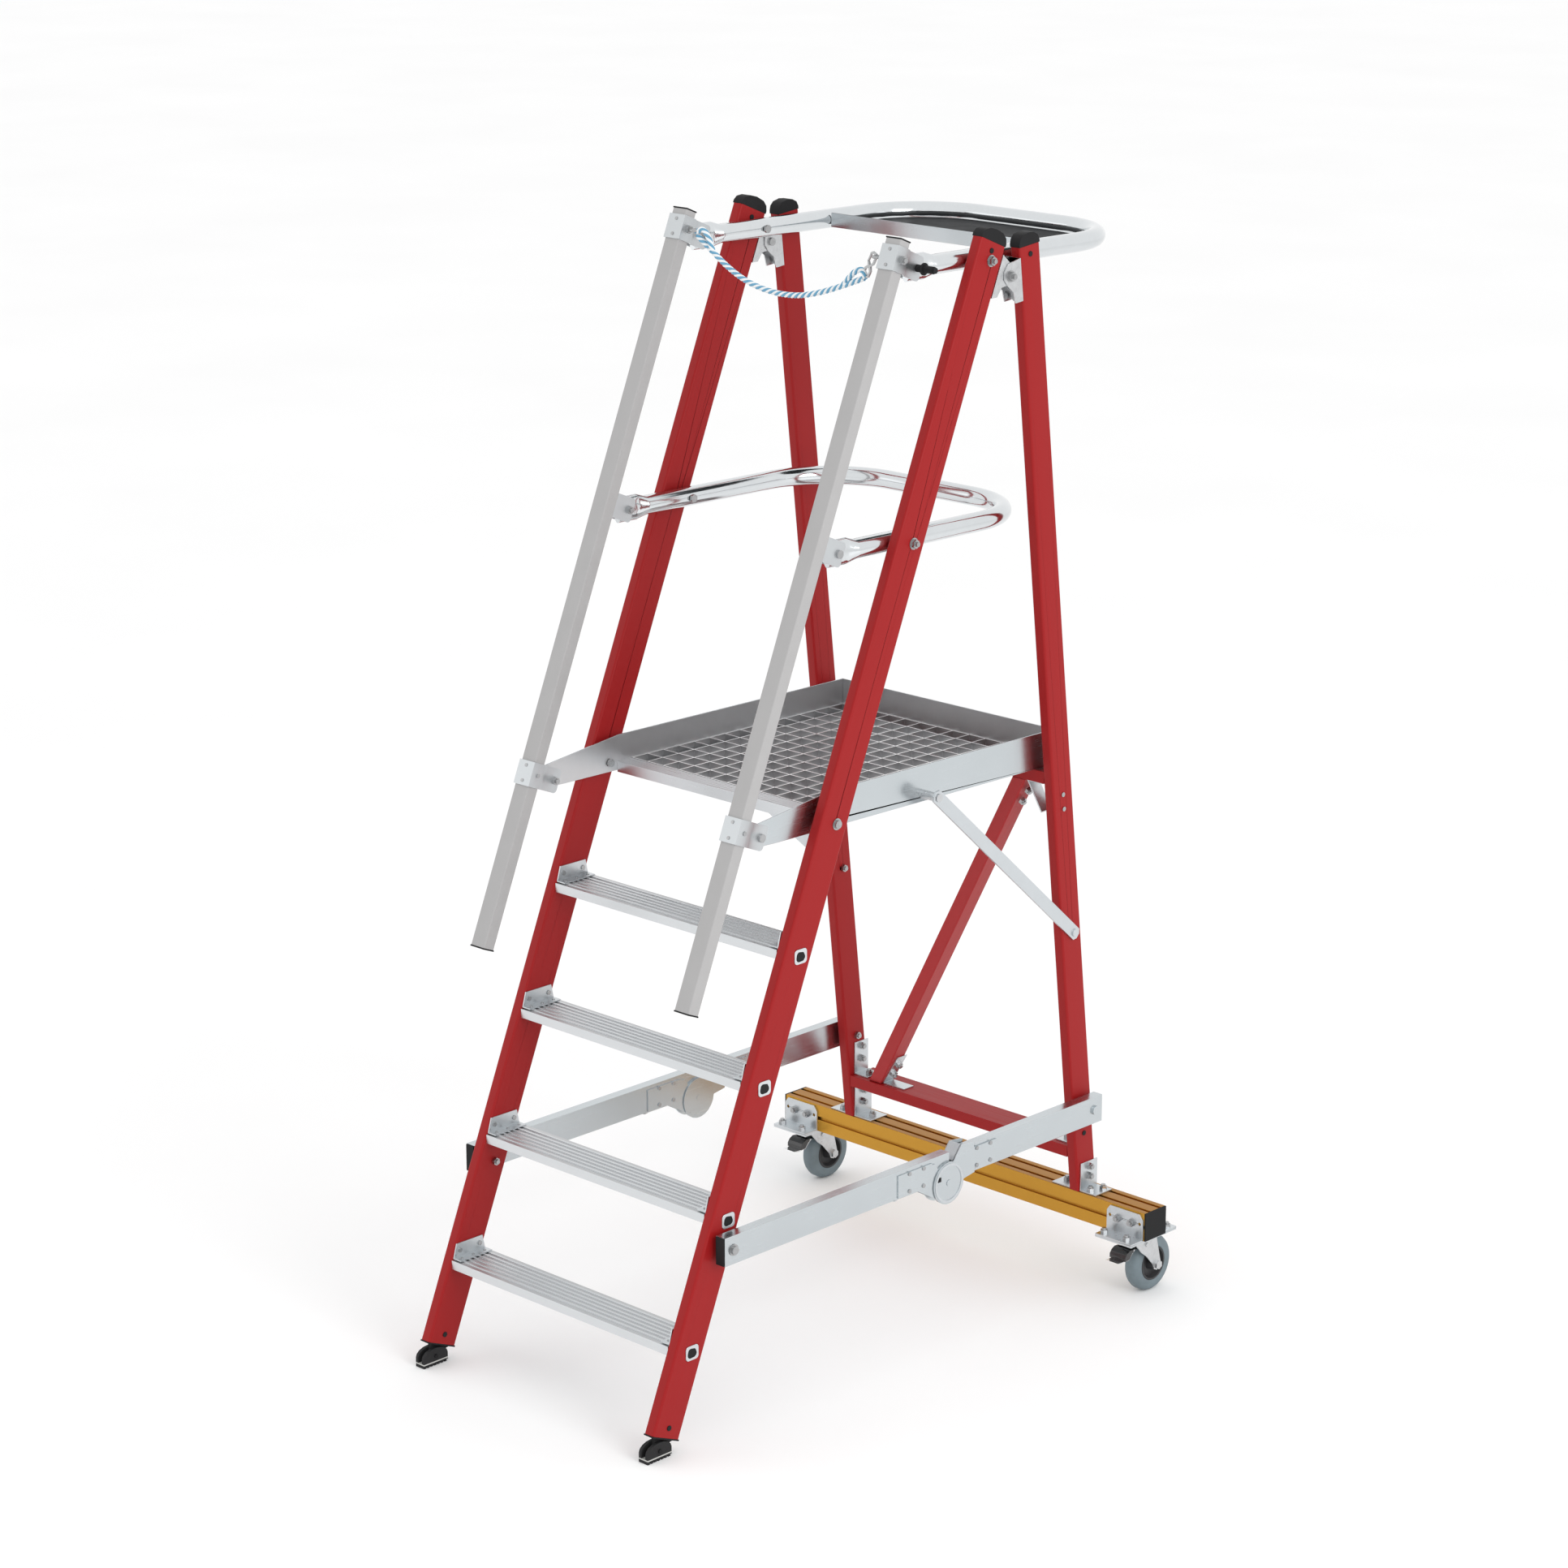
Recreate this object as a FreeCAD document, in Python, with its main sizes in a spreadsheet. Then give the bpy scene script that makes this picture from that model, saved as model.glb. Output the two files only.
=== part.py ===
import FreeCAD, Part
import math
import os
import Sketcher

# alias, value, meaning (millimetres or degrees)
SIZES = [
    ("depth_shift", "-623.5", "moves the ladder so its footprint is centred on the origin"),
    ("step_pitch", "250", "height from one tread to the next"),
    ("first_rung_z", "201.5", "height of the lowest rung tube"),
    ("front_tilt", "22.44", "lean of the front stiles from upright"),
    ("rear_tilt", "6.5", "lean of the rear stiles from upright"),
    ("stile_thick", "26", "front and rear stile size across the ladder"),
    ("wall", "3", "stile wall"),
    ("stile_corner", "5", "stile corner radius"),
    ("front_outer", "346", "outer face of the front stiles from the middle"),
    ("front_fore", "45", "front stile ahead of the rung line"),
    ("front_aft", "32", "front stile behind the rung line"),
    ("front_below", "176", "front stile below the lowest rung, along the stile"),
    ("front_above", "2276", "front stile above the lowest rung, along the stile"),
    ("rear_outer", "348", "outer face of the rear stiles from the middle"),
    ("rear_fore", "29", "rear stile ahead of its bolt line"),
    ("rear_aft", "32", "rear stile behind its bolt line"),
    ("rear_line_y", "1228.6", "where the rear bolt line meets the floor"),
    ("rear_top_run", "2096", "rear stile length above the beam"),
    ("tread_fore", "41", "tread nose ahead of the rung line"),
    ("tread_depth", "96", "tread front to back"),
    ("tread_rise", "17", "tread top above the rung line"),
    ("tread_lip", "19", "height of the tread nose"),
    ("tread_skin", "3", "tread plate"),
    ("rib_count", "6", "ribs on a tread"),
    ("rib_high", "2.2", "rib height"),
    ("rib_wide", "5", "rib width"),
    ("angle_thick", "2.5", "tread bracket sheet"),
    ("rung_deep", "35", "rung tube front to back"),
    ("rung_high", "31", "rung tube height"),
    ("rung_corner", "8", "rung tube corner radius"),
    ("rung_wall", "2.5", "rung tube wall"),
    ("rung_proud", "1.5", "rung tube outside the stile"),
    ("plug_deep", "12", "rung plug length"),
    ("plug_sunk", "1", "rung plug inside the tube end"),
    ("cap_rise", "26", "stile cap dome above the stile"),
    ("cap_edge", "6", "straight rim of a stile cap"),
    ("black_rivet_r", "5.5", "black rivet radius"),
    ("black_rivet_high", "1.6", "black rivet height"),
    ("fit", "0.06", "running clearance on a pivot"),
    ("gap", "0.5", "side clearance between moving parts"),
    ("bolt_r", "5", "pivot bolt radius"),
    ("washer_r", "12", "washer radius"),
    ("washer_thick", "1.6", "washer thickness"),
    ("head_r", "8.5", "bolt head radius"),
    ("head_high", "5", "bolt head height"),
    ("small_head_r", "5", "rivet and small screw head radius"),
    ("small_head_high", "2.2", "rivet and small screw head height"),
    ("pivot_platform", "1202", "height of the platform pivot"),
    ("pivot_mid", "1734", "height of the middle rail pivot"),
    ("pivot_top", "2271", "height of the top rail pivot"),
    ("droop", "0.6", "backward slope of the platform and rails"),
    ("link_run", "177", "front stile pivots to hand rail pivots"),
    ("rail_x", "296", "middle of rail legs and hand rails"),
    ("rail_r", "20", "guard rail tube radius"),
    ("rail_bore_r", "17.5", "guard rail tube bore"),
    ("rail_bend_r", "180", "guard rail corner radius"),
    ("top_rail_run", "496", "top rail behind its pivot"),
    ("mid_rail_run", "434", "middle rail behind its pivot"),
    ("flat_half", "11", "half thickness of the pressed rail ends"),
    ("flat_tall", "27", "half height of the pressed rail ends"),
    ("flat_start", "120", "pivot to the start of the pressed end"),
    ("flat_full", "145", "pivot to the full pressed end"),
    ("flat_end", "196", "pivot to the rail end"),
    ("tray_front", "196", "pivot to the tool tray lip"),
    ("tray_thick", "3", "tool tray sheet"),
    ("tray_drop", "14", "tool tray below the rail middle"),
    ("tray_lip", "30", "tool tray lip height"),
    ("hand_wide", "40", "hand rail across the ladder"),
    ("hand_deep", "29", "hand rail front to back"),
    ("hand_fore", "74", "hand rail front face ahead of its pivots"),
    ("hand_low", "650", "hand rail bottom, along the stile line"),
    ("hand_high", "2211", "hand rail top, along the stile line"),
    ("hand_wall", "2", "hand rail wall"),
    ("hand_corner", "3", "hand rail corner radius"),
    ("hand_cap_high", "3", "hand rail cap"),
    ("clamp_tall", "51", "clamp height"),
    ("clamp_sheet", "2.5", "clamp sheet"),
    ("clamp_aft", "13", "clamp flange behind its pivot"),
    ("clamp_corner", "9", "rounding of the clamp flanges"),
    ("deck_half", "307", "outer face of the platform sides"),
    ("side_sheet", "3", "platform side wall"),
    ("side_low", "20", "platform side below its pivot"),
    ("side_high", "56", "toe board above the pivot"),
    ("side_nose", "28", "height of the toe board at its front end"),
    ("side_back", "709", "platform side behind its pivot"),
    ("side_ledge", "20", "inward flanges of the platform side"),
    ("nosing_front", "22", "pivot to the platform front edge"),
    ("nosing_deep", "40", "platform nosing front to back"),
    ("nosing_high", "24", "platform nosing height"),
    ("grate_high", "18", "grating depth"),
    ("grate_bar", "3", "grating bar thickness"),
    ("grate_nx", "13", "grating cells across"),
    ("grate_ny", "14", "grating cells front to back"),
    ("stud_y", "293.5", "platform pivot to strut stud"),
    ("stud_drop", "3", "strut stud below the pivot"),
    ("stud_r", "9", "strut stud radius"),
    ("strut_half", "14", "half width of a strut"),
    ("strut_thick", "5", "strut bar thickness"),
    ("strut_rear_y", "1141.7", "rear strut bolt"),
    ("strut_rear_z", "807.4", "rear strut bolt height"),
    ("spread_in", "356", "inner face of the spreader bars"),
    ("spread_thick", "24", "spreader bar across the ladder"),
    ("spread_high", "60", "spreader bar height"),
    ("spread_front_z", "404.5", "front spreader bolt height"),
    ("spread_rear_y", "1187.9", "rear spreader bolt"),
    ("spread_rear_z", "401.5", "rear spreader bolt height"),
    ("elbow_y", "713", "spreader elbow"),
    ("elbow_z", "369.5", "spreader elbow height"),
    ("elbow_r", "46", "elbow disc radius"),
    ("plug_thick", "2.5", "spreader end plug ahead of its bar"),
    ("plug_margin", "0.8", "bar rim left uncovered round the plug"),
    ("plate_thick", "2.5", "elbow plate"),
    ("elbow_pin_r", "7", "elbow pin radius"),
    ("hinge_y", "911.7", "bolt that joins the front and rear frames"),
    ("hinge_z", "2233.9", "height of that bolt"),
    ("bar_low_z", "284", "underside of the lower cross bar"),
    ("bar_low_deep", "76", "lower cross bar front to back"),
    ("bar_low_high", "25.5", "lower cross bar height"),
    ("bar_up_z", "1144", "underside of the upper cross bar"),
    ("bar_up_high", "26", "upper cross bar height"),
    ("brace_wide", "31", "brace width"),
    ("brace_deep", "43", "brace and upper bar front to back"),
    ("beam_half", "537", "half length of the beam"),
    ("beam_y", "1176.5", "front face of the beam"),
    ("beam_deep", "69", "beam front to back"),
    ("beam_z", "144", "underside of the beam"),
    ("beam_high", "63.7", "beam height"),
    ("beam_cap", "4", "beam end cap thickness"),
    ("groove_deep", "6", "beam grooves"),
    ("groove_wide", "8", "beam groove width"),
    ("caster_x", "482", "caster middle"),
    ("caster_plate_x", "100", "caster plate across"),
    ("caster_plate_out", "42", "caster plate beyond the beam"),
    ("caster_sheet", "4", "caster plate and bracket thickness"),
    ("wheel_r", "62.5", "wheel radius"),
    ("wheel_wide", "34", "wheel width"),
    ("hub_r", "38", "wheel hub radius"),
    ("axle_r", "6", "wheel axle radius"),
    ("caster_trail", "42", "axle behind the swivel"),
    ("fork_gap", "24", "half width inside the fork"),
    ("fork_sheet", "3", "fork plate"),
    ("swivel_r", "34", "swivel head radius"),
    ("swivel_high", "9", "swivel head height"),
    ("shoe_r", "33", "shoe half disc radius"),
    ("shoe_high", "18", "shoe above its pin"),
    ("shoe_drop", "20", "shoe pin above the floor"),
    ("shoe_floor", "11", "bottom of the shoe slot below its pin"),
    ("tooth_count", "7", "teeth on a shoe sole"),
    ("tooth_high", "4", "height of the sole teeth"),
    ("foot_rim", "3", "rim of the foot cap"),
    ("tongue_r", "9", "round end of the foot tongue"),
    ("tongue_thick", "10", "foot tongue across the ladder"),
    ("rope_r", "6", "rope radius"),
    ("eye_r", "9", "eye ring radius"),
    ("eye_wire_r", "2.8", "eye ring wire radius"),
    ("hook_lean", "28", "lean of the hanging snap hook"),
]

doc = FreeCAD.newDocument("step_ladder")
sheet = doc.addObject("Spreadsheet::Sheet", "Sizes")
for row, (alias, value, meaning) in enumerate(SIZES, 1):
    sheet.set(f"A{row}", alias)
    sheet.set(f"B{row}", value)
    sheet.set(f"C{row}", meaning)
    sheet.setAlias(f"B{row}", alias)
doc.recompute()

Vector = FreeCAD.Vector
X_AXIS = Vector(1, 0, 0)
Y_AXIS = Vector(0, 1, 0)
Z_AXIS = Vector(0, 0, 1)
NODES = {}
RIGHT_LEFT = (("right", 1), ("left", -1))


def v(alias):
    return float(sheet.get(alias))


def bind(text):
    """Turn a formula over size names into a spreadsheet expression."""
    words = []
    word = ""
    for letter in str(text) + " ":
        if letter.isalnum() or letter in "_.":
            word += letter
            continue
        words.append("Sizes." + word if word[:1].isalpha() else word)
        words.append(letter)
        word = ""
    return "".join(words).strip()


def evaluate(text):
    return float(sheet.evalExpression(bind(text)))


SHIFT = v("depth_shift")
LEAN_F = math.radians(v("front_tilt"))
LEAN_R = math.radians(v("rear_tilt"))
RISE = v("step_pitch") / math.cos(LEAN_F)


def at_front(x, s, d=0.0):
    """Point x across, s up the front stile from the lowest rung, d behind the rung line."""
    y = s * math.sin(LEAN_F) + d * math.cos(LEAN_F)
    z = s * math.cos(LEAN_F) - d * math.sin(LEAN_F)
    return Vector(x, y + SHIFT, z + v("first_rung_z"))


def at_rear(x, t, d=0.0):
    """Point x across, t up the rear stile from the beam top, d behind the bolt line."""
    top = v("beam_z") + v("beam_high")
    y0 = v("rear_line_y") - top * math.tan(LEAN_R)
    y = y0 - t * math.sin(LEAN_R) + d * math.cos(LEAN_R)
    z = top + t * math.cos(LEAN_R) + d * math.sin(LEAN_R)
    return Vector(x, y + SHIFT, z)


def at_world(x, y, z):
    return Vector(x, y + SHIFT, z)


def run_for(height):
    return (height - v("first_rung_z")) / math.cos(LEAN_F)


def turn(axis, degrees):
    return FreeCAD.Rotation(axis, degrees)


FRONT_TURN = turn(X_AXIS, -v("front_tilt"))
REAR_TURN = turn(X_AXIS, v("rear_tilt"))
DROOP_TURN = turn(X_AXIS, -v("droop"))
LEVEL = FreeCAD.Rotation()
ALONG_X = turn(Y_AXIS, 90)
AGAINST_X = turn(Y_AXIS, -90)
ALONG_Y = turn(X_AXIS, -90)
AGAINST_Y = turn(X_AXIS, 90)


def swing(point, pivot, degrees):
    offset = turn(X_AXIS, degrees).multVec(point - pivot)
    return pivot + offset


def body(label, base=Vector(), rotation=LEVEL):
    new = doc.addObject("PartDesign::Body", label)
    new.Label = label
    new.AllowCompound = True
    new.Placement = FreeCAD.Placement(base, rotation)
    return new


def plane_of(owner, role):
    for feature in owner.Origin.OriginFeatures:
        if feature.Role == role:
            return feature
    raise ValueError(role)


def sketch_on(owner, name, role, offset=0.0):
    made = owner.newObject("Sketcher::SketchObject", name)
    made.AttachmentSupport = [(plane_of(owner, role), "")]
    made.MapMode = "FlatFace"
    made.AttachmentOffset = FreeCAD.Placement(Vector(0, 0, offset), LEVEL)
    return made


def fix_point(sketch, geometry, vertex, across, up):
    for kind, formula in (("DistanceX", across), ("DistanceY", up)):
        index = sketch.addConstraint(
            Sketcher.Constraint(kind, -1, 1, geometry, vertex, evaluate(formula)))
        sketch.setExpression(f"Constraints[{index}]", bind(formula))


def add_polygon(sketch, points):
    """Closed outline through (across, up) formula pairs."""
    corners = [Vector(evaluate(a), evaluate(b), 0) for a, b in points]
    first = sketch.GeometryCount
    count = len(corners)
    for i in range(count):
        sketch.addGeometry(Part.LineSegment(corners[i], corners[(i + 1) % count]), False)
    for i in range(count):
        following = first + (i + 1) % count
        sketch.addConstraint(Sketcher.Constraint("Coincident", first + i, 2, following, 1))
    for i, (across, up) in enumerate(points):
        fix_point(sketch, first + i, 1, across, up)


def add_rectangle(sketch, x0, x1, y0, y1):
    add_polygon(sketch, [(x0, y0), (x1, y0), (x1, y1), (x0, y1)])


def add_circle(sketch, across, up, radius):
    centre = Vector(evaluate(across), evaluate(up), 0)
    index = sketch.addGeometry(Part.Circle(centre, Z_AXIS, evaluate(radius)), False)
    fix_point(sketch, index, 3, across, up)
    limit = sketch.addConstraint(Sketcher.Constraint("Radius", index, evaluate(radius)))
    sketch.setExpression(f"Constraints[{limit}]", bind(radius))


def add_rounded(sketch, across, up, corner):
    """Rectangle of half sizes across and up about the sketch origin, with round corners."""
    wide = evaluate(across)
    tall = evaluate(up)
    radius = evaluate(corner)
    quarters = ((1, 1, 0), (-1, 1, 1), (-1, -1, 2), (1, -1, 3))
    arcs = []
    for a, b, quarter in quarters:
        centre = Vector(a * (wide - radius), b * (tall - radius), 0)
        start = quarter * math.pi / 2
        curve = Part.ArcOfCircle(Part.Circle(centre, Z_AXIS, radius), start, start + math.pi / 2)
        arcs.append(sketch.addGeometry(curve, False))
    for k, arc in enumerate(arcs):
        following = arcs[(k + 1) % 4]
        line = sketch.addGeometry(Part.LineSegment(
            sketch.getPoint(arc, 2), sketch.getPoint(following, 1)), False)
        sketch.addConstraint(Sketcher.Constraint("Tangent", arc, 2, line, 1))
        sketch.addConstraint(Sketcher.Constraint("Tangent", line, 2, following, 1))
        a, b, _ = quarters[k]
        fix_point(sketch, arc, 3, f"{a} * ({across} - {corner})", f"{b} * ({up} - {corner})")
    limit = sketch.addConstraint(Sketcher.Constraint("Radius", arcs[0], radius))
    sketch.setExpression(f"Constraints[{limit}]", bind(corner))


def pad(owner, sketch, length, middle=True, back=False):
    made = owner.newObject("PartDesign::Pad", sketch.Name + "_pad")
    made.Profile = sketch
    made.setExpression("Length", bind(length))
    made.Midplane = middle
    made.Reversed = back
    owner.Tip = made
    return made


def cut(owner, sketch, length=None, middle=True, back=False):
    made = owner.newObject("PartDesign::Pocket", sketch.Name + "_cut")
    made.Profile = sketch
    made.Midplane = middle
    made.Reversed = back
    if length is None:
        made.Type = "ThroughAll"
    else:
        made.setExpression("Length", bind(length))
    owner.Tip = made
    return made


def plate(label, role, outline, length, base=Vector(), rotation=LEVEL, holes=(), offset=0.0):
    """Padded outline with round holes (across, up, radius), centred on its plane."""
    owner = body(label, base, rotation)
    sketch = sketch_on(owner, label + "_outline", role, offset)
    add_polygon(sketch, outline)
    for across, up, radius in holes:
        add_circle(sketch, across, up, radius)
    pad(owner, sketch, length)
    return owner


def round_edges(owner, radius, chosen):
    """Fillet the edges for which chosen(edge) holds."""
    doc.recompute()
    tip = owner.Tip
    names = [f"Edge{i}" for i, edge in enumerate(tip.Shape.Edges, 1) if chosen(edge)]
    made = owner.newObject("PartDesign::Fillet", owner.Name + "_rounds")
    made.Base = (tip, names)
    made.setExpression("Radius", bind(radius))
    owner.Tip = made
    return made


def solid_of(kind, name, base, rotation, **sizes):
    made = doc.addObject("Part::" + kind, name)
    for key, formula in sizes.items():
        made.setExpression(key, bind(formula))
    made.Placement = FreeCAD.Placement(base, rotation)
    return made


def cylinder(name, base, rotation, radius, height):
    return solid_of("Cylinder", name, base, rotation, Radius=radius, Height=height)


def fuse(name, members):
    made = doc.addObject("Part::MultiFuse", name)
    made.Shapes = members
    return made


def group(label, members):
    made = doc.addObject("Part::Compound", label)
    made.Links = members
    made.Label = label
    NODES[label] = made
    return made


def node(made):
    NODES[made.Label] = made
    return made


def bolt_head(name, base, rotation, hexagon=False):
    """Washer and head standing on a face, along the rotated z axis."""
    out = rotation.multVec(Z_AXIS)
    washer = cylinder(name + "_washer", base, rotation, "washer_r", "washer_thick")
    top = base + out * v("washer_thick")
    if hexagon:
        head = solid_of("Prism", name + "_nut", top, rotation, Circumradius="head_r + 1",
                        Height="head_high + 2")
        tip = cylinder(name + "_tip", top, rotation, "bolt_r", "head_high + 7")
        return fuse(name, [washer, head, tip])
    head = cylinder(name + "_head", top, rotation, "head_r", "head_high")
    return fuse(name, [washer, head])


def pivot_bolt(name, base, rotation, reach, hexagon=False):
    """Bolt head with a shank reaching back through the pivot."""
    out = rotation.multVec(Z_AXIS)
    head = bolt_head(name + "_end", base, rotation, hexagon)
    shank = cylinder(name + "_shank", base - out * reach, rotation, "bolt_r", str(reach))
    return fuse(name, [head, shank])


def nut(name, base, rotation):
    out = rotation.multVec(Z_AXIS)
    block = solid_of("Prism", name + "_nut", base, rotation, Circumradius="head_r",
                     Height="head_high + 2")
    tip = cylinder(name + "_tip", base + out * v("head_high"), rotation, "bolt_r",
                   "head_high + 1")
    return fuse(name, [block, tip])


def rivet(name, base, rotation, radius="small_head_r", height="small_head_high"):
    return cylinder(name, base, rotation, radius, height)


def outward(side):
    return ALONG_X if side > 0 else AGAINST_X


def inward(side):
    return AGAINST_X if side > 0 else ALONG_X


# ---------------------------------------------------------------- front frame
FRONT_IN = v("front_outer") - v("stile_thick")
FRONT_MID = v("front_outer") - v("stile_thick") / 2
STEPS = 4
RUN_PLATFORM = run_for(v("pivot_platform"))
RUN_MID = run_for(v("pivot_mid"))
RUN_TOP = run_for(v("pivot_top"))
REAR_IN = v("rear_outer") - v("stile_thick")
REAR_MID = v("rear_outer") - v("stile_thick") / 2


def hollow_stile(label, base, rotation, fore, aft, length, holes):
    owner = body(label, base, rotation)
    section = sketch_on(owner, label + "_section", "XY_Plane")
    add_rectangle(section, "0 - stile_thick / 2", "stile_thick / 2", "0 - " + fore, aft)
    add_rectangle(section, "wall - stile_thick / 2", "stile_thick / 2 - wall",
                  "wall - " + fore, aft + " - wall")
    pad(owner, section, length, middle=False)
    round_edges(owner, "stile_corner", lambda edge: edge.Length > 500
                and abs(edge.CenterOfMass.x) > v("stile_thick") / 2 - 1)
    drill = sketch_on(owner, label + "_drill", "YZ_Plane")
    for across, up, radius in holes:
        add_circle(drill, across, up, radius)
    cut(owner, drill)
    return owner


def front_stiles():
    holes = []
    for run in (RUN_PLATFORM, RUN_MID, RUN_TOP):
        holes.append(("0", f"front_below + {run}", "bolt_r"))
    holes.append(("0", f"front_below + {run_for(v('spread_front_z'))}", "bolt_r"))
    for name, side in RIGHT_LEFT:
        base = at_front(side * FRONT_MID, -v("front_below"))
        owner = hollow_stile("front_stile_" + name, base, FRONT_TURN, "front_fore", "front_aft",
                             "front_below + front_above", holes)
        for i in range(STEPS):
            window = sketch_on(owner, f"rung_window_{name}_{i}", "YZ_Plane")
            window.AttachmentOffset = FreeCAD.Placement(
                Vector(0, v("front_below") + i * RISE, 0), turn(Z_AXIS, v("front_tilt")))
            add_rounded(window, "rung_deep / 2", "rung_high / 2", "rung_corner")
            cut(owner, window)
        node(owner)


def stile_cap(name, base, rotation, fore, aft):
    """Domed cap: a flat rim and an arched top, seen along the x axis."""
    arch = [("0 - " + fore, "0"), (aft, "0"), (aft, "cap_edge"),
            (f"{aft} * 0.86", "cap_rise * 0.62"), (f"{aft} * 0.5", "cap_rise * 0.9"),
            (f"({aft} - {fore}) / 2", "cap_rise"), (f"0 - {fore} * 0.58", "cap_rise * 0.9"),
            (f"0 - {fore} * 0.88", "cap_rise * 0.62"), ("0 - " + fore, "cap_edge")]
    return plate(name, "YZ_Plane", arch, "stile_thick", base, rotation)


def black_rivet(name, base, rotation):
    return rivet(name, base, rotation, "black_rivet_r", "black_rivet_high")


def front_caps():
    members = []
    middle = (v("front_aft") - v("front_fore")) / 2
    for name, side in RIGHT_LEFT:
        base = at_front(side * FRONT_MID, v("front_above"))
        members.append(stile_cap("front_cap_" + name, base, FRONT_TURN, "front_fore", "front_aft"))
        for face, spin in ((FRONT_IN, inward(side)), (v("front_outer"), outward(side))):
            spot = at_front(side * face, v("front_above") - 18, middle)
            members.append(black_rivet(f"front_cap_rivet_{name}_{int(face)}", spot, spin))
    group("front_stile_caps", members + rung_plugs())


SHOE = at_world(0, -91, 20)


def foot_holders():
    """Black cap closing the stile foot, with the tongue that carries the shoe."""
    members = []
    middle = (v("front_aft") - v("front_fore")) / 2
    for name, side in RIGHT_LEFT:
        base = at_front(side * FRONT_MID, -v("front_below"))
        rim = [("0 - front_fore", "0"), ("front_aft", "0"), ("front_aft", "0 - foot_rim"),
               ("0 - front_fore", "0 - foot_rim")]
        cap = plate("foot_cap_" + name, "YZ_Plane", rim, "stile_thick", base, FRONT_TURN)
        pin = FRONT_TURN.inverted().multVec(SHOE + X_AXIS * side * FRONT_MID - base)
        sides = [("0 - 30", "0 - foot_rim"), ("24", "0 - foot_rim")]
        sides += [(f"{pin.y} + tongue_r * {math.cos(a):.5f}", f"{pin.z} + tongue_r * {math.sin(a):.5f}")
                  for a in (math.radians(d) for d in range(20, -201, -20))]
        tongue = plate("foot_tongue_" + name, "YZ_Plane", sides, "tongue_thick", base, FRONT_TURN)
        members.append(fuse("foot_holder_" + name, [cap, tongue]))
        bolt = cylinder("foot_pin_" + name, SHOE + X_AXIS * (side * FRONT_MID - 16), ALONG_X,
                        "small_head_r - 1", "32")
        members[-1].Shapes = [cap, tongue, bolt]
        for face, spin in ((FRONT_IN, inward(side)), (v("front_outer"), outward(side))):
            spot = at_front(side * face, 21 - v("front_below"), middle)
            members.append(black_rivet(f"foot_rivet_{name}_{int(face)}", spot, spin))
    group("foot_holders", members)


def foot_shoes():
    """Swivelling rubber shoe: half oval above a toothed sole, split round the tongue."""
    steps = 8
    count = int(v("tooth_count"))
    crown = []
    for i in range(steps + 1):
        angle = math.pi * i / steps
        crown.append((f"shoe_r * {math.cos(angle):.5f}", f"shoe_high * {math.sin(angle):.5f}"))
    teeth = []
    for i in range(count):
        left = f"shoe_r * {2 * i / count - 1:.5f}"
        right = f"shoe_r * {(2 * i + 1.24) / count - 1:.5f}"
        teeth += [(left, "tooth_high - shoe_drop"), (left, "0 - shoe_drop"),
                  (right, "0 - shoe_drop"), (right, "tooth_high - shoe_drop")]
    outline = [("shoe_r", "tooth_high - shoe_drop")] + crown + teeth
    for name, side in RIGHT_LEFT:
        base = SHOE + X_AXIS * side * FRONT_MID
        owner = plate("foot_shoe_" + name, "YZ_Plane", outline, "stile_thick", base, LEVEL,
                      [("0", "0", "small_head_r - 1 + fit")])
        slot = sketch_on(owner, "shoe_slot_" + name, "XZ_Plane")
        half = "tongue_thick / 2 + gap"
        add_rectangle(slot, "0 - " + half.replace("+", "-"), half, "0 - shoe_floor", "shoe_high + 1")
        cut(owner, slot)
        node(owner)


def tread_outline():
    """Closed outline of the ribbed tread, y back and z up from the rung line."""
    top = [("0 - tread_fore", "tread_rise - tread_lip"), ("0 - tread_fore", "tread_rise")]
    count = int(v("rib_count"))
    pitch = f"(tread_depth - 14) / {count}"
    for i in range(count):
        start = f"7 - tread_fore + {pitch} * {i} + 4"
        top += [(start, "tread_rise"), (start, "tread_rise + rib_high"),
                (start + " + rib_wide", "tread_rise + rib_high"),
                (start + " + rib_wide", "tread_rise")]
    back = "tread_depth - tread_fore"
    top += [(back, "tread_rise"), (back, "tread_rise - 12"),
            (back + " - tread_skin", "tread_rise - 12"),
            (back + " - tread_skin", "tread_rise - tread_skin"),
            ("rung_deep / 2", "tread_rise - tread_skin"), ("rung_deep / 2", "rung_high / 2"),
            ("0 - rung_deep / 2", "rung_high / 2"), ("0 - rung_deep / 2", "tread_rise - tread_skin"),
            ("tread_skin - tread_fore", "tread_rise - tread_skin"),
            ("tread_skin - tread_fore", "tread_rise - tread_lip")]
    return top


def tread_flange(name, base, side):
    """Upright of a tread bracket, lying on the stile."""
    low = "tread_rise + rib_high + 0.4"
    upright = [("0 - 37", low), ("50", low), ("43", "tread_rise + 34"), ("0 - 28", "tread_rise + 34")]
    return plate(name, "YZ_Plane", upright, "angle_thick", base - X_AXIS * side * v("angle_thick") / 2)


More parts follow.
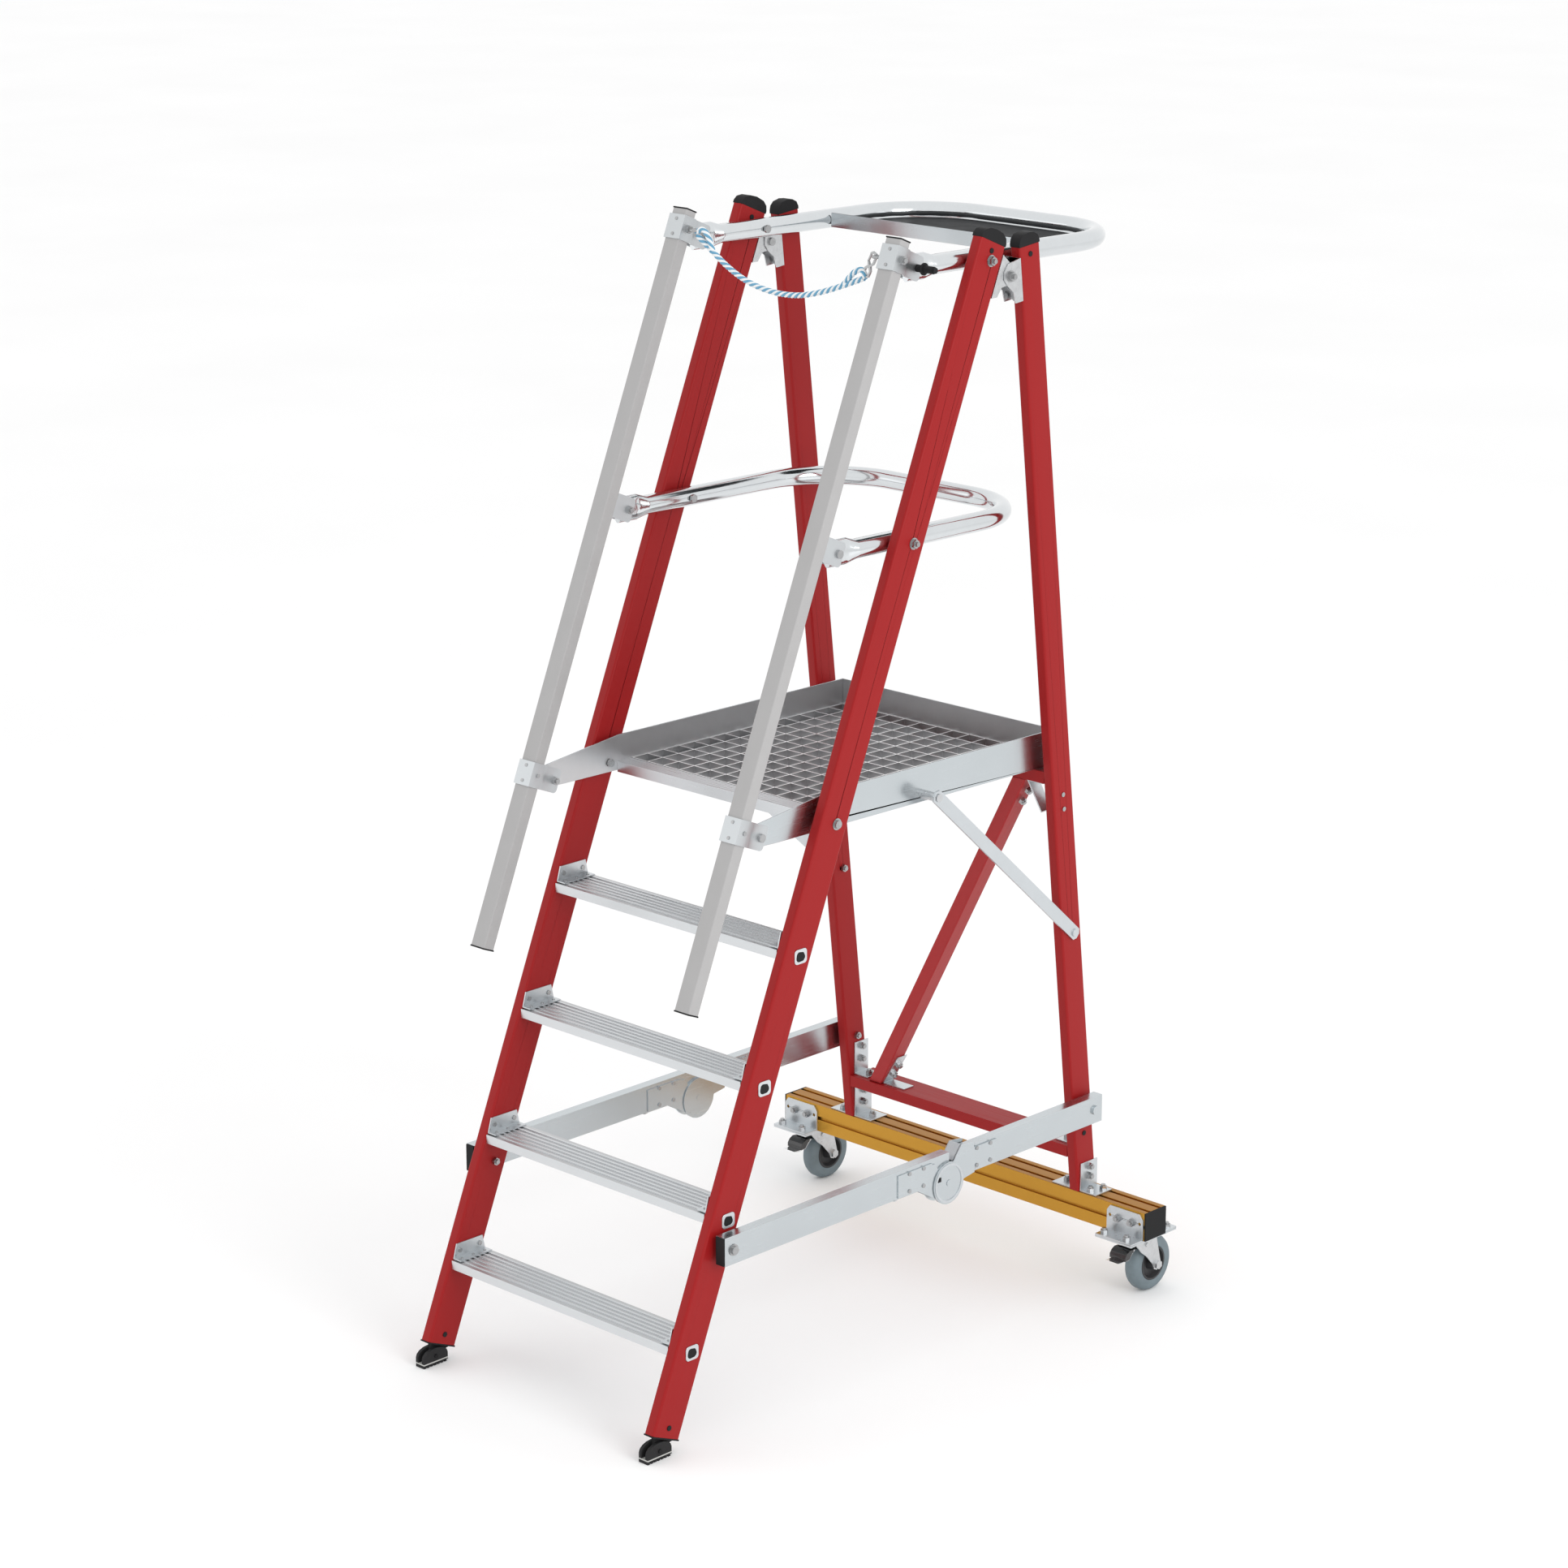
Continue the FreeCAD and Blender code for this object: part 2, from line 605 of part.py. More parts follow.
def treads():
    outline = tread_outline()
    members = []
    brackets = []
    for i in range(STEPS):
        base = at_front(0, i * RISE)
        members.append(plate(f"tread_{i + 1}", "YZ_Plane", outline, "(front_outer - stile_thick) * 2",
                             base))
        for name, side in RIGHT_LEFT:
            foot = at_front(side * FRONT_IN, i * RISE)
            tag = f"{i + 1}_{name}"
            up = tread_flange("tread_bracket_" + tag, foot, side)
            leg = solid_of("Box", "tread_leg_" + tag, foot + Vector(
                -24 if side > 0 else 0, -37, v("tread_rise") + v("rib_high")), LEVEL,
                Length="24", Width="87", Height="angle_thick")
            brackets.append(fuse("tread_angle_" + tag, [up, leg]))
            for k, y in enumerate((-20, 35)):
                spot = foot + Vector(-side * v("angle_thick"), y, v("tread_rise") + 18)
                brackets.append(rivet(f"tread_rivet_{tag}_{k}", spot, inward(side)))
            for k, y in enumerate((-25, 6, 38)):
                spot = foot + Vector(-side * 14, y,
                                     v("tread_rise") + v("rib_high") + v("angle_thick"))
                brackets.append(rivet(f"tread_screw_{tag}_{k}", spot, LEVEL, "3.2", "1.4"))
    group("treads", members)
    group("tread_brackets", brackets)


def rungs():
    """Rounded tubes through both stiles under the treads, closed by sunk plugs."""
    tubes = []
    for i in range(STEPS):
        owner = body(f"rung_tube_{i + 1}", at_front(0, i * RISE))
        skin = sketch_on(owner, f"rung_skin_{i}", "YZ_Plane")
        add_rounded(skin, "rung_deep / 2", "rung_high / 2", "rung_corner")
        pad(owner, skin, "(front_outer + rung_proud) * 2")
        bore = sketch_on(owner, f"rung_bore_{i}", "YZ_Plane")
        add_rounded(bore, "rung_deep / 2 - rung_wall", "rung_high / 2 - rung_wall",
                    "rung_corner - rung_wall")
        cut(owner, bore)
        tubes.append(owner)
    group("rung_tubes", tubes)


def rung_plugs():
    plugs = []
    reach = v("front_outer") + v("rung_proud") - v("plug_sunk") - v("plug_deep") / 2
    for i in range(STEPS):
        for name, side in RIGHT_LEFT:
            owner = body(f"rung_plug_{name}_{i}", at_front(side * reach, i * RISE))
            outline = sketch_on(owner, f"plug_outline_{name}_{i}", "YZ_Plane")
            add_rounded(outline, "rung_deep / 2 - rung_wall - fit * 2",
                        "rung_high / 2 - rung_wall - fit * 2", "rung_corner - rung_wall")
            pad(owner, outline, "plug_deep")
            plugs.append(owner)
    return plugs


def hinge_point(x):
    return at_world(x, v("hinge_y"), v("hinge_z"))


def hinge_brackets(label, points, base_of, rotation, web, flanges, web_x):
    """Folded bracket: a web on the stile and two flanges reaching to the hinge bolt."""
    members = []
    for name, side in RIGHT_LEFT:
        pieces = []
        for k, x in enumerate(flanges):
            flange = plate(f"{label}_flange_{name}_{k}", "YZ_Plane", points, "2.5",
                           base_of(side * x), rotation, [("0", "0", "bolt_r + fit")])
            pieces.append(flange)
        low_x, high_x = web_x
        start = min(side * low_x, side * high_x)
        y0, z0, z1 = web
        corner = base_of(0) + rotation.multVec(Vector(start, y0, z0))
        pieces.append(solid_of("Box", f"{label}_web_{name}", corner, rotation,
                               Length=str(abs(high_x - low_x)), Width="2.5",
                               Height=str(z1 - z0)))
        members.append(fuse(f"{label}_{name}", pieces))
    return members


def front_hinges():
    back = v("front_aft")
    centre = hinge_point(0)
    rel = FRONT_TURN.inverted().multVec(centre - at_front(0, 0))
    reach = rel.y - back
    points = [(str(-reach), "34"), ("6", "20"), ("17", "4"), ("15", "0 - 10"), ("0", "0 - 20"),
              ("0 - 14", "0 - 28"), ("0 - 20", "0 - 50"), (str(-reach), "0 - 56")]
    inner = FRONT_IN + 1.25
    outer = v("front_outer") - 1.25
    members = hinge_brackets("front_hinge", points, hinge_point, FRONT_TURN,
                             (-reach, -56, 34), (inner, outer), (FRONT_IN, v("front_outer")))
    group("front_hinge_brackets", members)


def rear_hinges():
    rel = REAR_TURN.inverted().multVec(hinge_point(0) - at_rear(0, 0))
    reach = -v("rear_fore") - rel.y
    points = [(str(reach), "30"), ("0 - 4", "26"), ("0 - 17", "12"), ("0 - 19", "0 - 4"),
              ("0 - 10", "0 - 18"), ("6", "0 - 34"), ("10", "0 - 58"), (str(reach), "0 - 58")]
    inner = FRONT_IN - v("gap") - 1.25
    outer = v("front_outer") + v("gap") + 1.25
    members = hinge_brackets("rear_hinge", points, hinge_point, REAR_TURN,
                             (reach - 2.5, -58, 30), (inner, outer),
                             (inner - 1.25, outer + 1.25))
    group("rear_hinge_brackets", members)


def front_fasteners():
    members = []
    inside = FRONT_IN
    for name, side in RIGHT_LEFT:
        for tag, run, hexagon in (("platform", RUN_PLATFORM, False), ("mid", RUN_MID, True),
                                  ("top", RUN_TOP, True)):
            spot = at_front(side * v("front_outer"), run)
            length = v("front_outer") - v("rail_x") + v("rail_r") + 1.5
            if tag == "platform":
                length = v("front_outer") - v("deck_half") + v("side_sheet") + 1.5
            members.append(pivot_bolt(f"{tag}_bolt_{name}", spot, outward(side), length, hexagon))
            spacer = FRONT_IN - v("rail_x") - v("rail_r")
            if tag == "platform":
                spacer = FRONT_IN - v("deck_half")
            ring = cylinder(f"{tag}_spacer_{name}", at_front(side * inside, run), inward(side),
                            "washer_r - 2", str(spacer - v("gap")))
            hole = cylinder(f"{tag}_spacer_bore_{name}", at_front(side * inside, run),
                            inward(side), "bolt_r", str(spacer))
            washer = doc.addObject("Part::Cut", f"{tag}_spacer_ring_{name}")
            washer.Base = ring
            washer.Tool = hole
            members.append(washer)
            end = at_front(side * (v("front_outer") - length), run)
            members.append(rivet(f"{tag}_inner_head_{name}", end, inward(side), "head_r",
                                 "head_high"))
        spot = at_front(side * v("front_outer"), run_for(v("spread_front_z")))
        stand = v("spread_in") - v("front_outer") - v("gap")
        sleeve = cylinder(f"spreader_spacer_{name}", spot, outward(side), "washer_r",
                          str(stand))
        pin = cylinder(f"spreader_pin_{name}", spot, outward(side), "bolt_r",
                       str(stand + v("spread_thick") + 2 * v("gap")))
        far = spot + X_AXIS * side * (stand + v("spread_thick") + 2 * v("gap"))
        end = bolt_head(f"spreader_bolt_end_{name}", far, outward(side))
        members.append(fuse(f"spreader_bolt_{name}", [sleeve, pin, end]))
        inner = at_front(side * inside, run_for(v("spread_front_z")))
        members.append(nut(f"spreader_nut_{name}", inner, inward(side)))
    group("front_fasteners", members)


# ----------------------------------------------------------------- rear frame
def rear_run(height):
    return (height - v("beam_z") - v("beam_high")) / math.cos(LEAN_R)


def rear_line_y(height):
    return v("rear_line_y") - height * math.tan(LEAN_R)


def rear_stiles():
    for name, side in RIGHT_LEFT:
        holes = [("0", str(rear_run(v("strut_rear_z"))), "bolt_r")]
        base = at_rear(side * REAR_MID, 0)
        made = hollow_stile("rear_stile_" + name, base, REAR_TURN, "rear_fore", "rear_aft",
                            "rear_top_run", holes)
        foot = sketch_on(made, "rear_foot_" + name, "YZ_Plane")
        slope = math.tan(LEAN_R)
        add_polygon(foot, [("0 - 60", "0 - 10"), ("60", "0 - 10"), ("60", str(-60 * slope)),
                           ("0 - 60", str(60 * slope))])
        cut(made, foot)
        node(made)


def rear_caps():
    members = []
    for name, side in RIGHT_LEFT:
        base = at_rear(side * REAR_MID, v("rear_top_run"))
        members.append(stile_cap("rear_cap_" + name, base, REAR_TURN, "rear_fore", "rear_aft"))
        for tag, face, spin, t in (
                ("top_in", REAR_IN, inward(side), v("rear_top_run") - 18),
                ("top_out", v("rear_outer"), outward(side), v("rear_top_run") - 18),
                ("low", v("rear_outer"), outward(side), 133)):
            spot = at_rear(side * face, t, 1.5)
            members.append(black_rivet(f"rear_rivet_{tag}_{name}", spot, spin))
    group("rear_stile_caps", members)


BAR_FRONT = rear_line_y(v("bar_low_z")) - v("rear_fore")
BAR_UP_FRONT = rear_line_y(v("bar_up_z")) - v("rear_fore") + 1
BRACE_LOW_X = -252.0
BRACE_HIGH_X = 252.0


def cross_bars():
    """Square tubes between the rear stiles."""
    bars = []
    for name, front, level, deep, high in (
            ("lower", BAR_FRONT, "bar_low_z", "bar_low_deep", "bar_low_high"),
            ("upper", BAR_UP_FRONT, "bar_up_z", "brace_deep", "bar_up_high")):
        owner = body("cross_bar_" + name, at_world(0, front, v(level)))
        section = sketch_on(owner, "cross_bar_section_" + name, "YZ_Plane")
        add_rectangle(section, "0", deep, "0", high)
        add_rectangle(section, "wall", deep + " - wall", "wall", high + " - wall")
        pad(owner, section, "(rear_outer - stile_thick) * 2")
        bars.append(owner)
    group("cross_bars", bars)


def slanted_block(low, high, half, inset):
    """Block between two level ends, sheared along both axes; inset leaves room for a wall."""
    ends = []
    for x, y, z in (low, high):
        front = y + inset
        back = y + v("brace_deep") - inset
        corners = [at_world(x - half, front, z), at_world(x + half, front, z),
                   at_world(x + half, back, z), at_world(x - half, back, z)]
        ends.append(Part.makePolygon(corners + corners[:1]))
    return Part.makeLoft(ends, True, True)


def diagonal_brace():
    """Slanting tube between the cross bars, sheared to follow the stiles."""
    z0 = v("bar_low_z") + v("bar_low_high")
    z1 = v("bar_up_z")
    slant = math.cos(math.atan((BRACE_HIGH_X - BRACE_LOW_X) / (z1 - z0)))
    low = (BRACE_LOW_X, BAR_FRONT + 6, z0)
    high = (BRACE_HIGH_X, BAR_UP_FRONT, z1)
    half = v("brace_wide") / 2 / slant
    outside = slanted_block(low, high, half, 0)
    inside = slanted_block(low, high, half - v("wall") / slant, v("wall"))
    made = doc.addObject("Part::Feature", "diagonal_brace")
    made.Label = "diagonal_brace"
    made.Shape = outside.cut(inside)
    node(made)


def angle_piece(name, corner, arms, length, side_turn):
    """L bracket: two arms from a corner in the local x z plane, extruded along local y."""
    wide, tall = arms
    outline = [("0", "0"), (str(wide), "0"), (str(wide), "3"), ("3", "3"), ("3", str(tall)),
               ("0", str(tall))]
    return plate(name, "XZ_Plane", outline, str(length), corner, side_turn)


def rear_angles():
    members = []
    flip = turn(Z_AXIS, 180)
    for name, side in RIGHT_LEFT:
        spin = flip if side > 0 else LEVEL
        top = v("beam_z") + v("beam_high")
        middle = v("beam_y") + v("beam_deep") / 2 - 3
        members.append(angle_piece("beam_angle_in_" + name,
                                   at_world(side * REAR_IN, middle, top), (52, 76), 55, spin))
        away = LEVEL if side > 0 else flip
        members.append(angle_piece("beam_angle_out_" + name,
                                   at_world(side * v("rear_outer"), middle, top), (46, 64), 55,
                                   away))
        bar = v("bar_low_z") + v("bar_low_high")
        middle = BAR_FRONT + 34
        members.append(angle_piece("bar_angle_top_" + name,
                                   at_world(side * REAR_IN, middle, bar), (42, 76), 44, spin))
    z0 = v("bar_low_z") + v("bar_low_high")
    z1 = v("bar_up_z")
    slope = math.degrees(math.atan((BRACE_HIGH_X - BRACE_LOW_X) / (z1 - z0)))
    half = v("brace_wide") / 2 / math.cos(math.radians(slope))
    low = [("0", "0"), ("66", "0"), ("66", "3"), (str(3 + 3 * math.tan(math.radians(slope))), "3"),
           (str(3 + 72 * math.tan(math.radians(slope))), "72"),
           (str(72 * math.tan(math.radians(slope))), "72")]
    members.append(plate("brace_plate_low", "XZ_Plane", low, "32",
                         at_world(BRACE_LOW_X + half, BAR_FRONT + 28, z0)))
    high = [("0", "0"), ("0 - 44", "0"), ("0 - 44", "0 - 3"), ("0 - 6", "0 - 3"),
            (str(-6 - 60 * math.tan(math.radians(slope))), "0 - 63"),
            (str(-3 - 62 * math.tan(math.radians(slope))), "0 - 66")]
    mirrored = [(f"0 - ({a})", b) for a, b in high]
    members.append(plate("brace_plate_high", "XZ_Plane", mirrored, "32",
                         at_world(BRACE_HIGH_X + half, BAR_UP_FRONT + 21, z1)))
    group("rear_angles", members)


def beam():
    """Square tube with two grooves along each face."""
    base = at_world(0, v("beam_y"), v("beam_z"))
    owner = body("rear_beam", base)
    section = sketch_on(owner, "beam_section", "YZ_Plane")
    third = "beam_deep / 4"
    rise = "beam_high / 2"
    corners = [("0", "0"), ("beam_deep", "0"), ("beam_deep", rise + " - groove_wide / 2"),
               ("beam_deep - groove_deep", rise + " - groove_wide / 2"),
               ("beam_deep - groove_deep", rise + " + groove_wide / 2"),
               ("beam_deep", rise + " + groove_wide / 2"), ("beam_deep", "beam_high")]
    for k in (3, 1):
        centre = f"{third} * {k}"
        corners += [(centre + " + groove_wide / 2", "beam_high"),
                    (centre + " + groove_wide / 2", "beam_high - groove_deep"),
                    (centre + " - groove_wide / 2", "beam_high - groove_deep"),
                    (centre + " - groove_wide / 2", "beam_high")]
    corners += [("0", "beam_high"), ("0", rise + " + groove_wide / 2"),
                ("groove_deep", rise + " + groove_wide / 2"),
                ("groove_deep", rise + " - groove_wide / 2"), ("0", rise + " - groove_wide / 2")]
    add_polygon(section, corners)
    add_rectangle(section, "groove_deep + 3", "beam_deep - groove_deep - 3", "4",
                  "beam_high - groove_deep - 3")
    pad(owner, section, "(beam_half - beam_cap) * 2")
    node(owner)
    caps = []
    for name, side in RIGHT_LEFT:
        start = min(side * (v("beam_half") - v("beam_cap")), side * v("beam_half"))
        caps.append(solid_of("Box", "beam_cap_" + name, at_world(start, v("beam_y"), v("beam_z")),
                             LEVEL, Length="beam_cap", Width="beam_deep", Height="beam_high"))
    group("beam_end_caps", caps)


def caster_mounts():
    """Angle brackets on both faces of the beam and the caster top plate below them."""
    members = []
    half = "caster_plate_x / 2"
    for name, side in RIGHT_LEFT:
        x = side * v("caster_x")
        for tag, y, sign in (("front", v("beam_y"), -1), ("back", v("beam_y") + v("beam_deep"), 1)):
            upright = [("0 - " + half, "0"), (half, "0"), (half, "48"), (half + " - 9", "60"),
                       ("9 - " + half, "60"), ("0 - " + half, "48")]
            base = at_world(x, y + sign * v("caster_sheet") / 2, v("beam_z"))
            face = plate(f"caster_upright_{tag}_{name}", "XZ_Plane", upright, "caster_sheet", base,
                         LEVEL, [("0 - 41", "38", "3.5"), ("41", "38", "3.5")])
            out = v("caster_plate_out")
            leg_y = y - out if sign < 0 else y
            leg = solid_of("Box", f"caster_leg_{tag}_{name}", at_world(x - 50, leg_y, v("beam_z")),
                           LEVEL, Length="caster_plate_x", Width="caster_plate_out",
                           Height="caster_sheet")
            members.append(fuse(f"caster_angle_{tag}_{name}", [face, leg]))
        top = solid_of("Box", "caster_top_plate_" + name, at_world(
            x - 50, v("beam_y") - v("caster_plate_out"), v("beam_z") - v("caster_sheet")), LEVEL,
            Length="caster_plate_x", Width="beam_deep + caster_plate_out * 2",
            Height="caster_sheet")
        members.append(top)
    group("caster_mounts", members)


def rear_fasteners():
    members = []
    for name, side in RIGHT_LEFT:
        x = side * v("caster_x")
        back = v("beam_y") + v("beam_deep") + v("caster_sheet")
        for tag, dx in (("a", -19), ("b", 19)):
            members.append(nut(f"caster_nut_front_{tag}_{name}",
                               at_world(x + dx, v("beam_y") - v("caster_sheet"),
                                        v("beam_z") + 36), AGAINST_Y))
            members.append(nut(f"caster_nut_back_{tag}_{name}",
                               at_world(x + dx, back, v("beam_z") + 36), ALONG_Y))
        for tag, dx, y in (("c", -38, v("beam_y") - 26), ("d", 24, v("beam_y") - 26),
                           ("e", -24, back + 20), ("f", 38, back + 20)):
            members.append(nut(f"caster_nut_{tag}_{name}",
                               at_world(x + dx, y, v("beam_z") + v("caster_sheet")), LEVEL))
        top = v("beam_z") + v("beam_high")
        middle = v("beam_y") + v("beam_deep") / 2 - 3
        for k, (dx, dz) in enumerate(((3, 30), (3, 58))):
            members.append(nut(f"beam_nut_side_{k}_{name}", at_world(
                side * (REAR_IN - dx), middle, top + dz), inward(side)))
            members.append(nut(f"beam_nut_out_{k}_{name}", at_world(
                side * (v("rear_outer") + dx), middle, top + min(dz, 52)), outward(side)))
        members.append(nut(f"beam_nut_down_{name}", at_world(
            side * (REAR_IN - 32), middle, top + 3), LEVEL))
        for k, (dx, dy) in enumerate(((32, 14), (20, -14))):
            members.append(nut(f"beam_nut_floor_{k}_{name}", at_world(
                side * (v("rear_outer") + dx), middle + dy, top + 3), LEVEL))
        bar = v("bar_low_z") + v("bar_low_high")
        for k, dz in enumerate((34, 64)):
            members.append(nut(f"bar_nut_side_{k}_{name}", at_world(
                side * (REAR_IN - 3), BAR_FRONT + 34, bar + dz), inward(side)))
        members.append(nut(f"bar_nut_down_{name}", at_world(
            side * (REAR_IN - 28), BAR_FRONT + 34, bar + 3), LEVEL))
        for k, rise in enumerate((-56, -24)):
            spot = at_rear(side * v("rear_outer"), rear_run(v("bar_up_z") + rise))
            members.append(rivet(f"bar_bolt_{k}_{name}", spot, outward(side)))
        inside = at_world(side * REAR_IN, v("strut_rear_y"), v("strut_rear_z"))
        members.append(nut(f"strut_nut_{name}", inside, inward(side)))
        inside = at_world(side * REAR_IN, v("spread_rear_y"), v("spread_rear_z"))
        members.append(nut(f"spreader_rear_nut_{name}", inside, inward(side)))
        inner = FRONT_IN - v("gap") - 2.5
        outer = v("front_outer") + v("gap") + 2.5
        head = bolt_head(f"hinge_bolt_head_{name}", hinge_point(side * outer), outward(side), True)
        pin = cylinder(f"hinge_pin_{name}", hinge_point(side * inner), outward(side), "bolt_r",
                       str(outer - inner))
        end = cylinder(f"hinge_end_{name}", hinge_point(side * inner), inward(side), "head_r",
                       "head_high")
        members.append(fuse(f"hinge_bolt_{name}", [head, pin, end]))
        web = at_rear(side * FRONT_MID, rear_run(v("hinge_z")) - 44, -v("rear_fore") - 2.5)
        members.append(rivet(f"hinge_screw_{name}", web, FreeCAD.Rotation(
            Z_AXIS, REAR_TURN.multVec(Y_AXIS * -1)), "head_r", "head_high"))
    z0 = v("bar_low_z") + v("bar_low_high")
    slope = math.atan((BRACE_HIGH_X - BRACE_LOW_X) / (v("bar_up_z") - z0))
    half = v("brace_wide") / 2 / math.cos(slope)
    facing = turn(Y_AXIS, 90 + math.degrees(slope))
    normal = facing.multVec(Z_AXIS)
    for k, rise in enumerate((26.0, 52.0)):
        x = BRACE_LOW_X + half + rise * math.tan(slope)
        spot = at_world(x, BAR_FRONT + 28, z0 + rise) + normal * 2.6
        members.append(nut(f"brace_nut_low_{k}", spot, facing))
        x = BRACE_HIGH_X + half - rise * math.tan(slope)
        spot = at_world(x, BAR_UP_FRONT + 21, v("bar_up_z") - rise)
        members.append(nut(f"brace_nut_high_{k}", spot + normal * 5.6, facing))
    group("rear_fasteners", members)


# -------------------------------------------------------------------- casters
def caster_parts():
    axis_y = v("beam_y") + v("beam_deep") / 2
    under = v("beam_z") - v("caster_sheet")
    for name, side in RIGHT_LEFT:
        x = side * v("caster_x")
        swivel = at_world(x, axis_y, under - v("gap"))
        axle = at_world(x, axis_y + v("caster_trail"), v("wheel_r"))
        drop = under - v("gap") - v("swivel_high")
        head = cylinder("swivel_head_" + name, swivel - Z_AXIS * v("swivel_high"), LEVEL,
                        "swivel_r", "swivel_high")
        crown = solid_of("Box", "fork_crown_" + name, at_world(
            x - v("fork_gap") - v("fork_sheet"), axis_y - 34, drop - 4), LEVEL,
            Length="(fork_gap + fork_sheet) * 2", Width="72", Height="4")
        pieces = [head, crown]
        drop_axle = v("wheel_r") - drop
        for k, sign in (("a", -1), ("b", 1)):
            leg = [("0 - 34", "0"), ("38", "0"), ("caster_trail + 13", str(drop_axle + 2)),
                   ("caster_trail + 9", str(drop_axle - 9)), ("caster_trail", str(drop_axle - 13)),
                   ("caster_trail - 9", str(drop_axle - 9)),
                   ("caster_trail - 14", str(drop_axle + 3)), ("6", str(drop_axle + 28)),
                   ("0 - 12", str(drop_axle + 42))]
            base = at_world(x + sign * (v("fork_gap") + v("fork_sheet") / 2), axis_y, drop)
            pieces.append(plate(f"fork_leg_{k}_{name}", "YZ_Plane", leg, "fork_sheet", base))
        pin = cylinder("axle_" + name, axle - X_AXIS * (v("fork_gap") + 10), ALONG_X, "axle_r",
                       "fork_gap * 2 + 20")
        ends = []
        for k, spin, sign in (("a", AGAINST_X, -1), ("b", ALONG_X, 1)):
            spot = axle + X_AXIS * sign * (v("fork_gap") + v("fork_sheet"))
            ends.append(solid_of("Prism", f"axle_nut_{k}_{name}", spot, spin,
                                 Circumradius="10", Height="7"))
            spot = at_world(x, axis_y + 6, drop - 12) + X_AXIS * sign * (
                v("fork_gap") + v("fork_sheet"))
            ends.append(rivet(f"brake_pivot_{k}_{name}", spot, spin, "5", "3"))
        fork = fuse("caster_fork_" + name, pieces + [pin] + ends)
        fork.Label = "caster_fork_" + name
        node(fork)
        wheel(name, axle)
        brake(name, x, axis_y, drop)


def wheel(name, axle):
    owner = body("tyre_" + name, axle)
    section = sketch_on(owner, "tyre_section_" + name, "XY_Plane")
    half = "wheel_wide / 2"
    add_polygon(section, [("0 - " + half, "hub_r"), (half, "hub_r"), (half, "wheel_r - 9"),
                          (half + " - 4", "wheel_r - 3"), (half + " - 10", "wheel_r"),
                          ("10 - " + half, "wheel_r"), ("4 - " + half, "wheel_r - 3"),
                          ("0 - " + half, "wheel_r - 9")])
    spin_about(owner, section)
    node(owner)
    hub = body("wheel_hub_" + name, axle)
    section = sketch_on(hub, "hub_section_" + name, "XY_Plane")
    add_polygon(section, [("0 - fork_gap + gap", "axle_r + fit"), ("fork_gap - gap", "axle_r + fit"),
                          ("fork_gap - gap", "13"), ("8", "16"), ("6", "hub_r - 8"),
                          (half, "hub_r - 4"), (half, "hub_r"), ("0 - " + half, "hub_r"),
                          ("0 - " + half, "hub_r - 4"), ("0 - 6", "hub_r - 8"), ("0 - 8", "16"),
                          ("0 - fork_gap + gap", "13")])
    spin_about(hub, section)
    node(hub)


def spin_about(owner, section):
    made = owner.newObject("PartDesign::Revolution", section.Name + "_turned")
    made.Profile = section
    made.ReferenceAxis = (plane_of(owner, "X_Axis"), [""])
    made.Angle = 360
    owner.Tip = made


def brake(name, x, axis_y, drop):
    """Foot brake: black block between the fork sides and the steel pedal that carries it."""
    pivot = at_world(x, axis_y + 6, drop - 12)
    lever = [("0 - 86", "0 - 22"), ("0 - 74", "0 - 26"), ("0 - 48", "0 - 25"), ("0 - 38", "0 - 14"),
             ("0 - 30", "0 - 8"), ("0 - 4", "0 - 6"), ("0 - 4", "0 - 3"), ("0 - 32", "0 - 5"),
             ("0 - 42", "0 - 10"), ("0 - 52", "0 - 22"), ("0 - 72", "0 - 23")]
    node(plate("brake_pedal_" + name, "YZ_Plane", lever, "36", pivot))
    block = [("0 - 66", "0 - 22.6"), ("0 - 52.4", "0 - 21.6"), ("0 - 42.4", "0 - 9.6"),
             ("0 - 38", "0 - 7.8"), ("0 - 38", "0 - 2"), ("0 - 50", "0 - 1"),
             ("0 - 60", "0 - 6"), ("0 - 66", "0 - 14")]
    node(plate("brake_block_" + name, "YZ_Plane", block, "44", pivot))


# ------------------------------------------------------------------- platform
def pivot_point(height):
    y = (height - v("first_rung_z")) * math.tan(LEAN_F)
    return at_world(0, y, height)


PLATFORM = pivot_point(v("pivot_platform"))
DECK_IN = v("deck_half") - v("side_sheet")


def platform_sides():
    sides = []
    for name, side in RIGHT_LEFT:
        base = PLATFORM + X_AXIS * side * (v("deck_half") - v("side_sheet") / 2)
        outline = [("0 - flat_end", "0 - 18"), ("0 - 130", "0 - side_low"),
                   ("side_back", "0 - side_low"), ("side_back", "side_high"),
                   ("26", "side_high"), ("0 - flat_end", "side_nose")]
        holes = [("0", "0", "bolt_r + fit"), ("0 - link_run", "0", "bolt_r + fit")]
        owner = plate("platform_side_" + name, "YZ_Plane", outline, "side_sheet", base,
                      DROOP_TURN, holes)
        foot = sketch_on(owner, "side_foot_" + name, "XY_Plane", -v("side_low"))
        half = "side_sheet / 2"
        near = "nosing_front + nosing_deep"
        inner = [(f"0 - {side} * {half}", near), (f"0 - {side} * (side_ledge - {half})", near),
                 (f"0 - {side} * (side_ledge - {half})", "side_back - side_sheet"),
                 (f"0 - {side} * {half}", "side_back - side_sheet")]
        add_polygon(foot, inner)
        pad(owner, foot, "2", middle=False)
        sides.append(owner)
    group("platform_sides", sides)


